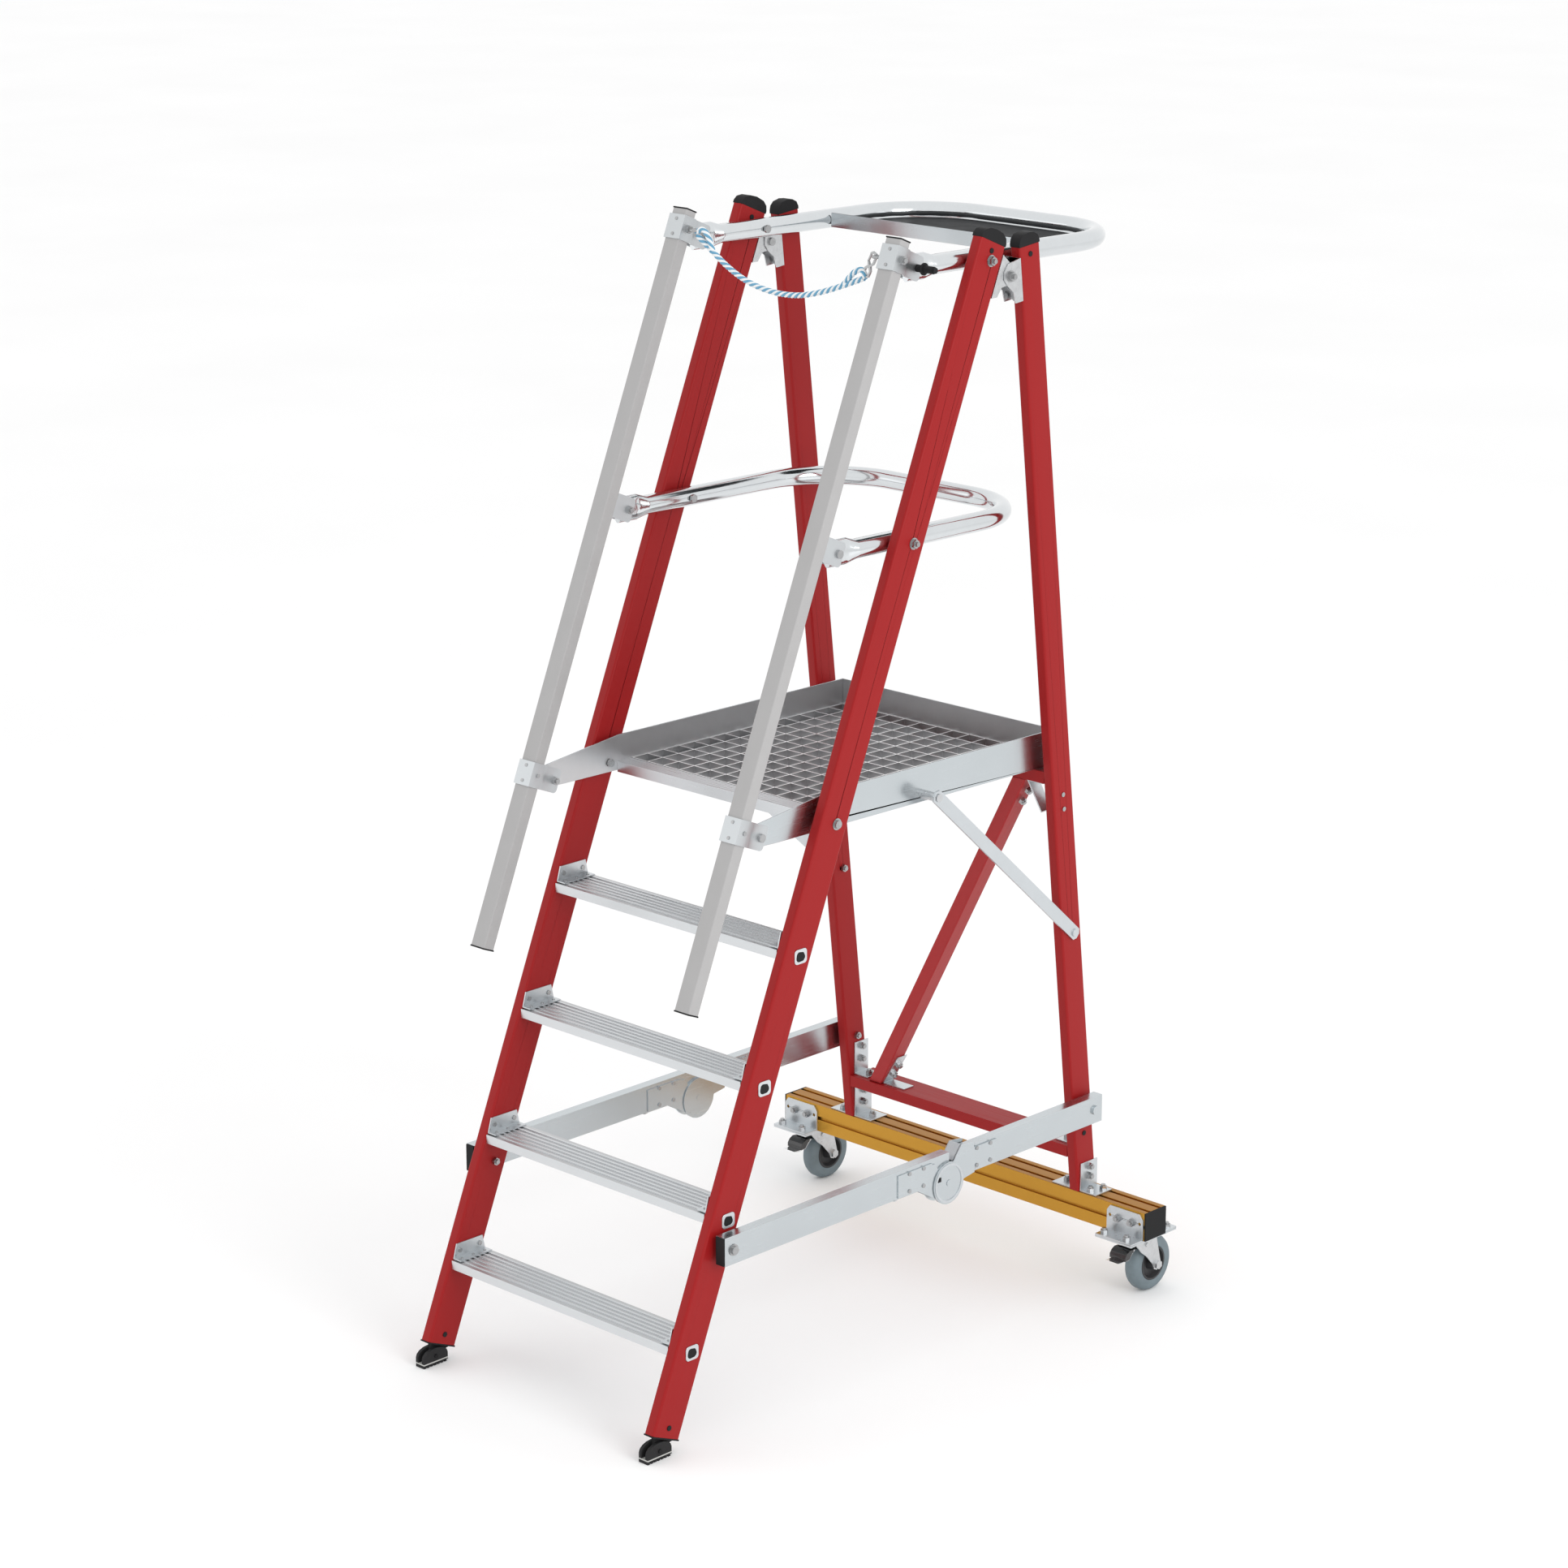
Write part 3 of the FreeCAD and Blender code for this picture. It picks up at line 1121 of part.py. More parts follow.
def toe_board():
    base = PLATFORM
    outline = [("0 - deck_half + side_sheet", "0 - side_low"),
               ("deck_half - side_sheet", "0 - side_low"), ("deck_half - side_sheet", "side_high"),
               ("0 - deck_half + side_sheet", "side_high")]
    owner = body("platform_toe_board", base + DROOP_TURN.multVec(
        Vector(0, v("side_back") - v("side_sheet") / 2, 0)), DROOP_TURN)
    sketch = sketch_on(owner, "toe_outline", "XZ_Plane")
    add_polygon(sketch, outline)
    pad(owner, sketch, "side_sheet")
    node(owner)


def nosing():
    """Ribbed extrusion along the front edge of the platform."""
    top = [("nosing_front", "0 - nosing_high"), ("nosing_front", "0 - 1")]
    for k in range(4):
        start = f"nosing_front + 5 + {k} * 9"
        top += [(start, "0 - 1"), (start, "0"), (start + " + 5", "0"), (start + " + 5", "0 - 1")]
    back = "nosing_front + nosing_deep"
    top += [(back, "0 - 1"), (back, "0 - nosing_high + 4"), (back + " - 3", "0 - nosing_high + 4"),
            (back + " - 3", "0 - 4"), ("nosing_front + 3", "0 - 4"),
            ("nosing_front + 3", "0 - nosing_high")]
    node(plate("platform_nosing", "YZ_Plane", top, "(deck_half - side_sheet) * 2", PLATFORM,
               DROOP_TURN))


def grating():
    start = v("nosing_front") + v("nosing_deep") + 0.4
    end = v("side_back") - v("side_sheet") - 0.4
    half = v("deck_half") - v("side_sheet") - 0.4
    base = PLATFORM + DROOP_TURN.multVec(Vector(0, start, 0))
    owner = body("platform_grating", base, DROOP_TURN)
    frame = sketch_on(owner, "grating_frame", "XY_Plane")
    add_rectangle(frame, str(-half), str(half), "0", str(end - start))
    add_rectangle(frame, f"grate_bar - {half}", f"{half} - grate_bar", "grate_bar",
                  f"{end - start} - grate_bar")
    pad(owner, frame, "grate_high", middle=False, back=True)
    for tag, count, reach, across in (("long", int(v("grate_nx")), 2 * half, True),
                                      ("cross", int(v("grate_ny")), end - start, False)):
        pitch = reach / count
        bar = sketch_on(owner, "grating_" + tag, "XY_Plane")
        if across:
            add_rectangle(bar, f"{pitch - half} - grate_bar / 2", f"{pitch - half} + grate_bar / 2",
                          "grate_bar / 2", f"{end - start} - grate_bar / 2")
        else:
            add_rectangle(bar, f"grate_bar / 2 - {half}", f"{half} - grate_bar / 2",
                          f"{pitch} - grate_bar / 2", f"{pitch} + grate_bar / 2")
        first = pad(owner, bar, "grate_high", middle=False, back=True)
        repeat = owner.newObject("PartDesign::LinearPattern", f"grating_{tag}_bars")
        repeat.Originals = [first]
        repeat.Direction = (bar, ["H_Axis" if across else "V_Axis"])
        repeat.Length = pitch * (count - 2)
        repeat.Occurrences = count - 1
        owner.Tip = repeat
    node(owner)


def stud_point(side, x):
    offset = DROOP_TURN.multVec(Vector(0, v("stud_y"), -v("stud_drop")))
    return PLATFORM + offset + X_AXIS * side * x


def strut_studs():
    """Turned stand-offs that carry the struts clear of the stiles."""
    members = []
    stand = v("rear_outer") + v("gap") - v("deck_half")
    for name, side in RIGHT_LEFT:
        stem = cylinder("strut_stem_" + name, stud_point(side, v("deck_half")), outward(side),
                        "stud_r", str(stand - v("gap")))
        pin = cylinder("strut_stud_pin_" + name, stud_point(side, v("deck_half")), outward(side),
                       "bolt_r", str(stand + v("strut_thick") + v("gap")))
        far = stud_point(side, v("deck_half") + stand + v("strut_thick") + v("gap"))
        end = cylinder("strut_stud_head_" + name, far, outward(side), "head_r", "2.5")
        members.append(fuse("strut_stand_" + name, [stem, pin, end]))
    group("strut_studs", members)


# ---------------------------------------------------------------- guard rails
LINK = DROOP_TURN.multVec(Vector(0, -v("link_run"), 0))
MID = pivot_point(v("pivot_mid"))
TOP = pivot_point(v("pivot_top"))


def rail_tube(label, origin, run):
    """Round tube bent into a U behind its pivots."""
    owner = body(label + "_tube", origin, DROOP_TURN)
    section = sketch_on(owner, label + "_section", "XZ_Plane", v("flat_start"))
    add_circle(section, "rail_x", "0", "rail_r")
    add_circle(section, "rail_x", "0", "rail_bore_r")
    path = sketch_on(owner, label + "_path", "XY_Plane")
    x = v("rail_x")
    bend = v("rail_bend_r")
    length = v(run)
    start = -v("flat_start")
    slant = bend * (1 - math.sqrt(0.5))
    right = Part.Arc(Vector(x, length - bend, 0), Vector(x - slant, length - slant, 0),
                     Vector(x - bend, length, 0))
    left = Part.Arc(Vector(bend - x, length, 0), Vector(slant - x, length - slant, 0),
                    Vector(-x, length - bend, 0))
    path.addGeometry(Part.LineSegment(Vector(x, start, 0), Vector(x, length - bend, 0)), False)
    path.addGeometry(right, False)
    path.addGeometry(Part.LineSegment(Vector(x - bend, length, 0), Vector(bend - x, length, 0)),
                     False)
    path.addGeometry(left, False)
    path.addGeometry(Part.LineSegment(Vector(-x, length - bend, 0), Vector(-x, start, 0)), False)
    for first, end_a, second, end_b in ((0, 2, 1, 1), (1, 2, 2, 1), (2, 2, 3, 1), (3, 2, 4, 1)):
        path.addConstraint(Sketcher.Constraint("Coincident", first, end_a, second, end_b))
    doc.recompute()
    pipe = owner.newObject("PartDesign::AdditivePipe", label + "_pipe")
    pipe.Profile = section
    pipe.Spine = (path, [f"Edge{i}" for i in range(1, 6)])
    owner.Tip = pipe
    return owner


def pressed_end(name, origin, side):
    """Rail end squeezed from round to a flat oval that fits its clamp."""
    x = side * v("rail_x")

    def oval(y, half, tall):
        centre = Vector(x, -y, 0)
        curve = Part.Ellipse(centre + Z_AXIS * tall, centre + X_AXIS * half, centre)
        return Part.Wire([curve.toShape()])

    round_end = Part.Wire([Part.Circle(Vector(x, -v("flat_start"), 0), Y_AXIS,
                                       v("rail_r")).toShape()])
    flat = oval(v("flat_full"), v("flat_half"), v("flat_tall"))
    squeeze = Part.makeLoft([round_end, flat], True, True)
    end = Part.Face(flat).extrude(Vector(0, v("flat_full") - v("flat_end"), 0))
    made = doc.addObject("Part::Feature", name)
    made.Shape = squeeze.fuse(end).removeSplitter()
    made.Placement = FreeCAD.Placement(origin, DROOP_TURN)
    return made


def guard_rail(label, origin, run):
    pieces = [rail_tube(label, origin, run)]
    holes = []
    for name, side in RIGHT_LEFT:
        pieces.append(pressed_end(f"{label}_end_{name}", origin, side))
        start = origin + X_AXIS * side * (v("rail_x") - 30)
        holes.append(cylinder(f"{label}_pivot_hole_{name}", start, outward(side),
                              "bolt_r + fit", "60"))
        holes.append(cylinder(f"{label}_link_hole_{name}", start + LINK, outward(side),
                              "bolt_r + fit", "60"))
    made = doc.addObject("Part::Cut", label)
    made.Base = fuse(label + "_whole", pieces)
    made.Tool = fuse(label + "_holes", holes)
    made.Label = label
    node(made)


def tool_tray():
    """Sheet lying inside the bend of the top rail, with a turned-down front lip."""
    inner = v("rail_x") - v("rail_r") - v("gap")
    bend = v("rail_bend_r") - v("rail_r") - v("gap")
    front = v("tray_front")
    back = v("top_rail_run") - v("rail_r") - v("gap")
    outline = [(str(-inner), str(front)), (str(inner), str(front))]
    steps = 6
    for i in range(steps + 1):
        angle = math.pi / 2 * i / steps
        outline.append((str(round(inner - bend + bend * math.cos(angle), 3)),
                        str(round(back - bend + bend * math.sin(angle), 3))))
    for i in range(steps + 1):
        angle = math.pi / 2 * (1 + i / steps)
        outline.append((str(round(bend - inner + bend * math.cos(angle), 3)),
                        str(round(back - bend + bend * math.sin(angle), 3))))
    owner = body("tool_tray", TOP, DROOP_TURN)
    sketch = sketch_on(owner, "tray_outline", "XY_Plane", -v("tray_drop"))
    add_polygon(sketch, outline)
    pad(owner, sketch, "tray_thick", middle=False)
    lip = sketch_on(owner, "tray_lip", "XZ_Plane", -front)
    add_rectangle(lip, str(-inner), str(inner), "tray_lip / 2 - tray_lip", "tray_lip / 2")
    pad(owner, lip, "tray_thick", middle=False, back=True)
    node(owner)


# ----------------------------------------------------------------- hand rails
def hand_rails():
    rel = FRONT_TURN.inverted().multVec(LINK)
    for name, side in RIGHT_LEFT:
        x = side * v("rail_x")
        owner = body("handrail_" + name, at_front(x, v("hand_low"), rel.y), FRONT_TURN)
        section = sketch_on(owner, "handrail_section_" + name, "XY_Plane")
        half = "hand_wide / 2"
        add_rectangle(section, "0 - " + half, half, "0 - hand_fore", "hand_deep - hand_fore")
        add_rectangle(section, "hand_wall - " + half, half + " - hand_wall",
                      "hand_wall - hand_fore", "hand_deep - hand_fore - hand_wall")
        pad(owner, section, "hand_high - hand_low", middle=False)
        round_edges(owner, "hand_corner", lambda edge: edge.Length > 500
                    and abs(edge.CenterOfMass.x) > v("hand_wide") / 2 - 1)
        node(owner)
        caps = []
        for tag, run in (("low", v("hand_low") - v("hand_cap_high")), ("high", v("hand_high"))):
            cap = body(f"handrail_cap_{tag}_{name}", at_front(x, run, rel.y), FRONT_TURN)
            rim = sketch_on(cap, f"handrail_cap_rim_{tag}_{name}", "XY_Plane")
            add_rectangle(rim, f"0 - {half} - 0.6", half + " + 0.6", "0 - hand_fore - 0.6",
                          "hand_deep - hand_fore + 0.6")
            pad(cap, rim, "hand_cap_high", middle=False)
            caps.append(cap)
        group("handrail_caps_" + name, caps)
        clamps(name, side)


def clamp_body(name, centre, wraps):
    """Folded sheet round the hand rail, or only behind it, with two flanges at the pivot."""
    owner = body(name, centre, FRONT_TURN)
    section = sketch_on(owner, name + "_section", "XY_Plane")
    near = "flat_half + gap"
    far = "flat_half + gap + clamp_sheet"
    side = "hand_wide / 2"
    outside = "hand_wide / 2 + clamp_sheet"
    back = "hand_deep - hand_fore"
    outer = [(far, "clamp_aft"), (far, back)]
    inner = [(near, "clamp_aft"), (near, back + " + clamp_sheet")]
    if wraps:
        outer = [(far, "clamp_aft"), (far, back + " + 13"), (outside, back + " + 1"),
                 (outside, "0 - hand_fore - clamp_sheet")]
        inner = [(near, "clamp_aft"), (near, back + " + 12"), (side, back),
                 (side, "0 - hand_fore")]
    left_outer = [(f"0 - ({a})", b) for a, b in reversed(outer)]
    left_inner = [(f"0 - ({a})", b) for a, b in inner]
    add_polygon(section, outer + left_outer + left_inner + list(reversed(inner)))
    pad(owner, section, "clamp_tall")
    drill = sketch_on(owner, name + "_drill", "YZ_Plane")
    add_circle(drill, "0", "0", "bolt_r")
    cut(owner, drill)

    def rear_corner(edge):
        return 1 < edge.BoundBox.XLength < 4 and edge.CenterOfMass.y > v("clamp_aft") - 1

    round_edges(owner, "clamp_corner", rear_corner)
    return owner


def clamps(name, side):
    members = []
    out = outward(side)
    face = v("flat_half") + v("gap") + v("clamp_sheet")
    wing = v("hand_wide") / 2 + v("clamp_sheet")
    for tag, origin in (("platform", PLATFORM), ("mid", MID), ("top", TOP)):
        centre = origin + LINK + X_AXIS * side * v("rail_x")
        label = f"clamp_{tag}_{name}"
        members.append(clamp_body(label, centre, tag != "mid"))
        pin = cylinder(label + "_pin", centre - X_AXIS * side * face, out, "bolt_r",
                       str(2 * face))
        tip = nut(label + "_end", centre - X_AXIS * side * face, inward(side))
        ends = [pin, tip]
        if (tag, side) != ("top", 1):
            ends.append(cylinder(label + "_head", centre + X_AXIS * side * face, out, "head_r",
                                 "head_high"))
        members.append(fuse(label + "_bolt", ends))
        if tag == "mid":
            continue
        front = v("hand_fore") + v("clamp_sheet")
        face_out = FRONT_TURN.multiply(turn(X_AXIS, 90))
        for k, s in enumerate((-16, 16)):
            spot = centre + FRONT_TURN.multVec(Vector(0, -front, s))
            members.append(rivet(f"{label}_rivet_{k}", spot, face_out, "3.6", "1.2"))
        for k, way in ((0, 1), (1, -1)):
            spin = out if way > 0 else inward(side)
            spot = centre + FRONT_TURN.multVec(Vector(0, -58, 0)) + X_AXIS * side * way * wing
            if tag == "top":
                members.append(nut(f"{label}_side_{k}", spot, spin))
            else:
                members.append(rivet(f"{label}_side_{k}", spot, spin, "4.5", "1.5"))
    if side < 0:
        members.append(eye_ring("eye_bolt", side, wing))
    if side > 0:
        members.append(eye_ring("hook_eye", side, wing))
    group("clamps_" + name, members)


def eye_centre(side, wing):
    centre = TOP + LINK + X_AXIS * side * v("rail_x")
    spot = centre + FRONT_TURN.multVec(Vector(0, -58, 0))
    return spot - X_AXIS * side * (wing + v("head_high") * 2 + 10)


def eye_ring(name, side, wing):
    ring = doc.addObject("Part::Torus", name)
    ring.setExpression("Radius1", bind("eye_r"))
    ring.setExpression("Radius2", bind("eye_wire_r"))
    ring.Placement = FreeCAD.Placement(eye_centre(side, wing), LEVEL)
    return ring


def pin_sleeve():
    """Black sleeve over the right top pivot bolt, with its ring and screw end."""
    face = v("flat_half") + v("gap") + v("clamp_sheet")
    start = TOP + LINK + X_AXIS * (v("rail_x") + face)
    sleeve = cylinder("sleeve_tube", start, ALONG_X, "7.5", "44")
    ring = cylinder("sleeve_collar", start + X_AXIS * 17, ALONG_X, "12.5", "2")
    end = cylinder("sleeve_screw", start + X_AXIS * 44, ALONG_X, "6", "5")
    made = fuse("pin_sleeve", [sleeve, ring, end])
    made.Label = "pin_sleeve"
    node(made)


# --------------------------------------------------------------------- struts
def strut_far():
    return at_world(0, v("strut_rear_y"), v("strut_rear_z"))


def struts():
    near = stud_point(1, 0)
    span = strut_far() - near
    length = span.Length
    down = math.degrees(math.atan2(span.z, span.y))
    spin = turn(X_AXIS, down)
    middle = v("rear_outer") + v("gap") + v("strut_thick") / 2
    for name, side in RIGHT_LEFT:
        base = near + X_AXIS * side * middle
        ends = [("0 - 14", "6"), ("0 - 14", "0 - 6"), ("0 - 7", "0 - strut_half"),
                (f"{length} + 7", "0 - strut_half"), (f"{length} + 14", "0 - 6"),
                (f"{length} + 14", "6"), (f"{length} + 7", "strut_half"), ("0 - 7", "strut_half")]
        bar = plate("strut_bar_" + name, "YZ_Plane", ends, "strut_thick", base, spin,
                    [("0", "0", "bolt_r + fit")])
        spot = strut_far() + X_AXIS * side * (middle + v("strut_thick") / 2)
        bolt = cylinder("strut_bolt_" + name, spot, outward(side), "head_r", "3.2")
        made = fuse("strut_" + name, [bar, bolt])
        made.Label = "strut_" + name
        node(made)


# ------------------------------------------------------------------ spreaders
ELBOW = at_world(0, v("elbow_y"), v("elbow_z"))


def rectangle_points(y0, y1, z0, z1):
    return [(str(y0), str(z0)), (str(y1), str(z0)), (str(y1), str(z1)), (str(y0), str(z1))]


def disc_points(first, last, radius, steps):
    points = []
    for i in range(steps + 1):
        angle = math.radians(first + (last - first) * i / steps)
        points.append((f"{radius} * {math.cos(angle):.5f}", f"{radius} * {math.sin(angle):.5f}"))
    return points


def spreader_plug(name, side, far, tilt):
    """Flat plug that closes the front end of one spreader."""
    margin = v("plug_margin")
    corner = Vector(side * (v("spread_in") + v("spread_thick") / 2) - v("spread_thick") / 2
                    + margin, far - v("plug_thick"), tilt - v("spread_high") / 2 + margin)
    made = solid_of("Box", "spreader_plug_" + name, ELBOW + corner, LEVEL,
                    Length="spread_thick - plug_margin * 2", Width="plug_thick",
                    Height="spread_high - plug_margin * 2")
    made.Label = "spreader_plug_" + name
    node(made)


def spreader_half(name, side, rear):
    """One bar of the spreader with its pair of elbow plates and rivets."""
    tag = f"spreader_{'rear' if rear else 'front'}"
    way = 1 if rear else -1
    bolt = pivot_point(v("spread_front_z")) - ELBOW
    if rear:
        bolt = at_world(0, v("spread_rear_y"), v("spread_rear_z")) - ELBOW
    high = v("spread_high") / 2
    near = 40 if rear else 6
    far = bolt.y + way * 24
    tilt = bolt.z
    outline = rectangle_points(min(near, far), max(near, far), tilt - high, tilt + high)
    middle = v("spread_in") + v("spread_thick") / 2
    holes = [] if rear else [(str(bolt.y), str(bolt.z), "bolt_r + fit")]
    solid_bar = plate(f"{tag}_bar_{name}", "YZ_Plane", outline, "spread_thick",
                      ELBOW + X_AXIS * side * middle, LEVEL, holes)
    start = near + v("wall") if rear else far
    corner = Vector(side * middle - v("spread_thick") / 2 + v("wall"), start,
                    tilt - high + v("wall"))
    run = abs(far - near) - v("wall") * (2 if rear else 1)
    hollow = solid_of("Box", f"{tag}_hollow_{name}", ELBOW + corner, LEVEL,
                      Length="spread_thick - wall * 2", Width=str(run),
                      Height="spread_high - wall * 2")
    bar = doc.addObject("Part::Cut", f"{tag}_tube_{name}")
    bar.Base = solid_bar
    bar.Tool = hollow
    pieces = [bar]
    if not rear:
        spreader_plug(name, side, far, tilt)
    thick = v("plate_thick")
    outer = v("spread_in") + v("spread_thick")
    for k, face, sign in (("out", outer, 1), ("in", v("spread_in"), -1)):
        arm = rectangle_points(min(way * 49, way * 152), max(way * 49, way * 152), 7, 56)
        arm_thick = thick + v("gap") if rear else thick
        base = ELBOW + X_AXIS * side * (face + sign * arm_thick / 2)
        pieces.append(plate(f"{tag}_arm_{k}_{name}", "YZ_Plane", arm, str(arm_thick), base))
        layer = face + sign * (thick / 2 + (thick + v("gap") if rear else 0))
        if rear:
            disc = disc_points(72, 356, v("elbow_r"), 18)
            outline = disc + [("80", "2"), ("77", "69"), ("38", "74")]
        else:
            disc = disc_points(-130, 130, v("elbow_r"), 14)
            outline = disc + [("0 - 40", "52"), ("0 - 96", "54"), ("0 - 96", "8"),
                              ("0 - 40", "0 - 24")]
        bore = "elbow_pin_r + fit" if rear else "elbow_pin_r"
        pieces.append(plate(f"{tag}_disc_{k}_{name}", "YZ_Plane", outline, str(thick),
                            ELBOW + X_AXIS * side * layer, LEVEL, [("0", "0", bore)]))
        top = face + sign * arm_thick
        for y in (89.5, 132) if rear else (75, 118):
            for z in (14, 52):
                spot = ELBOW + Vector(side * top, way * y, z)
                spin = out_spin(side * sign)
                pieces.append(rivet(f"{tag}_rivet_{k}_{name}_{y:.0f}_{z}", spot, spin, "4.5",
                                    "1.9"))
    if rear:
        for face, sign, high_of in ((outer, 1, "5"), (v("spread_in"), -1,
                                                    "spread_in - rear_outer - gap")):
            spot = ELBOW + Vector(side * face, bolt.y, bolt.z)
            pieces.append(cylinder(f"{tag}_bolt_{name}_{sign}", spot, out_spin(side * sign),
                                   "washer_r - 2", high_of))
    else:
        reach = 2 * thick + 2 * v("gap")
        start = ELBOW + X_AXIS * side * (v("spread_in") - reach)
        pieces.append(cylinder(f"{tag}_elbow_pin_{name}", start, outward(side), "elbow_pin_r",
                               f"spread_thick + {2 * reach} + 1"))
    made = fuse(f"{tag}_{name}", pieces)
    made.Label = f"{tag}_{name}"
    node(made)


def out_spin(sign):
    return ALONG_X if sign > 0 else AGAINST_X


def spreaders():
    for name, side in RIGHT_LEFT:
        spreader_half(name, side, False)
        spreader_half(name, side, True)
        middle = v("spread_in") + v("spread_thick") / 2
        base = ELBOW + X_AXIS * side * middle + Vector(0, -45, 2.6)
        strip = [("4", "0 - 1.5"), ("4", "1.5"), ("0 - 104", "1.5"), ("0 - 112", "0 - 2.5"),
                 ("0 - 106", "0 - 3.5"), ("0 - 100", "0 - 1.5")]
        node(plate("spreader_lever_" + name, "YZ_Plane", strip, "14", base))


# ----------------------------------------------------------------------- rope
def rounded_route(points):
    """Edges of straight runs joined by tangent arcs."""
    edges = []
    start = points[0]
    for i in range(1, len(points) - 1):
        before = points[i - 1] - points[i]
        after = points[i + 1] - points[i]
        shorter = min(before.Length, after.Length) * 0.45
        into = before.normalize()
        out = after.normalize()
        first = points[i] + into * shorter
        last = points[i] + out * shorter
        bisector = (into + out).normalize()
        half_turn = math.acos(max(-1, min(1, into.dot(out)))) / 2
        centre_away = shorter / math.cos(half_turn)
        radius = shorter * math.tan(half_turn)
        middle = points[i] + bisector * (centre_away - radius)
        edges.append(Part.LineSegment(start, first).toShape())
        edges.append(Part.Arc(first, middle, last).toShape())
        start = last
    edges.append(Part.LineSegment(start, points[-1]).toShape())
    return edges


ROPE_SAG = ((7.5, -10), (48.5, -36.5), (93.5, -65.5), (143.5, -87.5), (195.5, -99.5),
            (248.5, -103.5), (301.5, -100), (353.5, -87.5), (403.5, -71), (443.5, -56.5),
            (470, -46.3))


def rope_points():
    """Slack line from the left eye to the hook, in the plane of the eyes."""
    left = eye_centre(-1, v("hand_wide") / 2 + v("clamp_sheet"))
    return [left + Vector(dx, 0, dz) for dx, dz in ROPE_SAG]


def rope():
    edges = rounded_route(rope_points())
    route = Part.Wire(edges)
    start = edges[0].firstVertex().Point
    ahead = edges[0].tangentAt(edges[0].FirstParameter)
    ring = Part.Wire([Part.Circle(start, ahead, v("rope_r")).toShape()])
    made = doc.addObject("Part::Feature", "barrier_rope")
    made.Label = "barrier_rope"
    made.Shape = route.makePipeShell([ring], True, True)
    node(made)


def snap_hook():
    """Hook hung on the wire of the right eye, with its spring gate as a piece of its own."""
    eye = eye_centre(1, v("hand_wide") / 2 + v("clamp_sheet"))
    spin = turn(Y_AXIS, v("hook_lean"))
    low = eye - X_AXIS * v("eye_r") - spin.multVec(Vector(1.2, 0, 48.8))
    owner = body("snap_hook", low, spin)
    frame = sketch_on(owner, "hook_outline", "XZ_Plane")
    add_polygon(frame, [("0 - 9", "4"), ("0 - 5", "0"), ("5", "0"), ("9", "4"), ("9", "18"),
                        ("4", "26"), ("9", "34"), ("9", "52"), ("5", "57"), ("0 - 5", "57"),
                        ("0 - 9", "52"), ("0 - 9", "50"), ("0 - 5", "50"), ("0 - 3", "53"),
                        ("3", "53"), ("5", "50"), ("5", "36"), ("0", "28"), ("0 - 5", "34"),
                        ("0 - 9", "34"), ("0 - 4", "26"), ("0 - 9", "18")])
    add_polygon(frame, [("0 - 5", "6"), ("0 - 3", "4"), ("3", "4"), ("5", "6"), ("5", "16"),
                        ("0", "22"), ("0 - 5", "16")])
    pad(owner, frame, "5")
    node(owner)
    gate = body("snap_gate", low, spin)
    bar = sketch_on(gate, "gate_outline", "XZ_Plane")
    add_rectangle(bar, "0 - 8.6", "0 - 5.4", "34.4", "49.6")
    pad(gate, bar, "4")
    node(gate)


front_stiles()
front_caps()
foot_holders()
foot_shoes()
treads()
rungs()
front_hinges()
front_fasteners()
rear_stiles()
rear_caps()
rear_hinges()
cross_bars()
diagonal_brace()
rear_angles()
beam()
caster_mounts()
rear_fasteners()
caster_parts()
platform_sides()
toe_board()
nosing()
grating()
strut_studs()
guard_rail("top_rail", TOP, "top_rail_run")
guard_rail("mid_rail", MID, "mid_rail_run")
tool_tray()
hand_rails()
pin_sleeve()
struts()
spreaders()
rope()
snap_hook()
doc.recompute()

for item in doc.Objects:
    if "Invalid" in item.State or "Error" in item.State:
        raise RuntimeError(f"{item.Name} did not recompute: {item.State}")
os.makedirs("parts", exist_ok=True)
for label, made in NODES.items():
    shape = made.Shape
    if shape.isNull() or not shape.isValid():
        raise RuntimeError(label + " has no valid shape")
    shape.exportStep(f"parts/{label}.step")
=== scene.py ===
import math

import bpy
from mathutils import Matrix, Vector


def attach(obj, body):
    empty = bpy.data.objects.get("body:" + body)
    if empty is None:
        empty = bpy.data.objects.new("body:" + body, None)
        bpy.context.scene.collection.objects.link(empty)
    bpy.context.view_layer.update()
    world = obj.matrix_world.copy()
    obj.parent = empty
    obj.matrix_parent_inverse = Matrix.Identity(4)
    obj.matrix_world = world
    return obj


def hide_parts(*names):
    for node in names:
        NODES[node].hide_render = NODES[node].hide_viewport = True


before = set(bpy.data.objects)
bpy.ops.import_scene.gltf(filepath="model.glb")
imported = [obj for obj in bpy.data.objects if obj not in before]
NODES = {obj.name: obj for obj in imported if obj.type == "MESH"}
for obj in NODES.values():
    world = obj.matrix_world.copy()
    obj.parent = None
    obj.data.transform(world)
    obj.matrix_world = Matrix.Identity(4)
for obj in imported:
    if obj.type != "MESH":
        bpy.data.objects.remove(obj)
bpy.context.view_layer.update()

# ------------------------------------------------------------------ camera
AZIMUTH = math.radians(44.108)
ELEVATION = math.radians(15.976)
CAMERA_AT = Vector((5.81802, -6.00495, 3.56634))
LENS_MM = 96.49
ROLL = math.radians(-0.08)


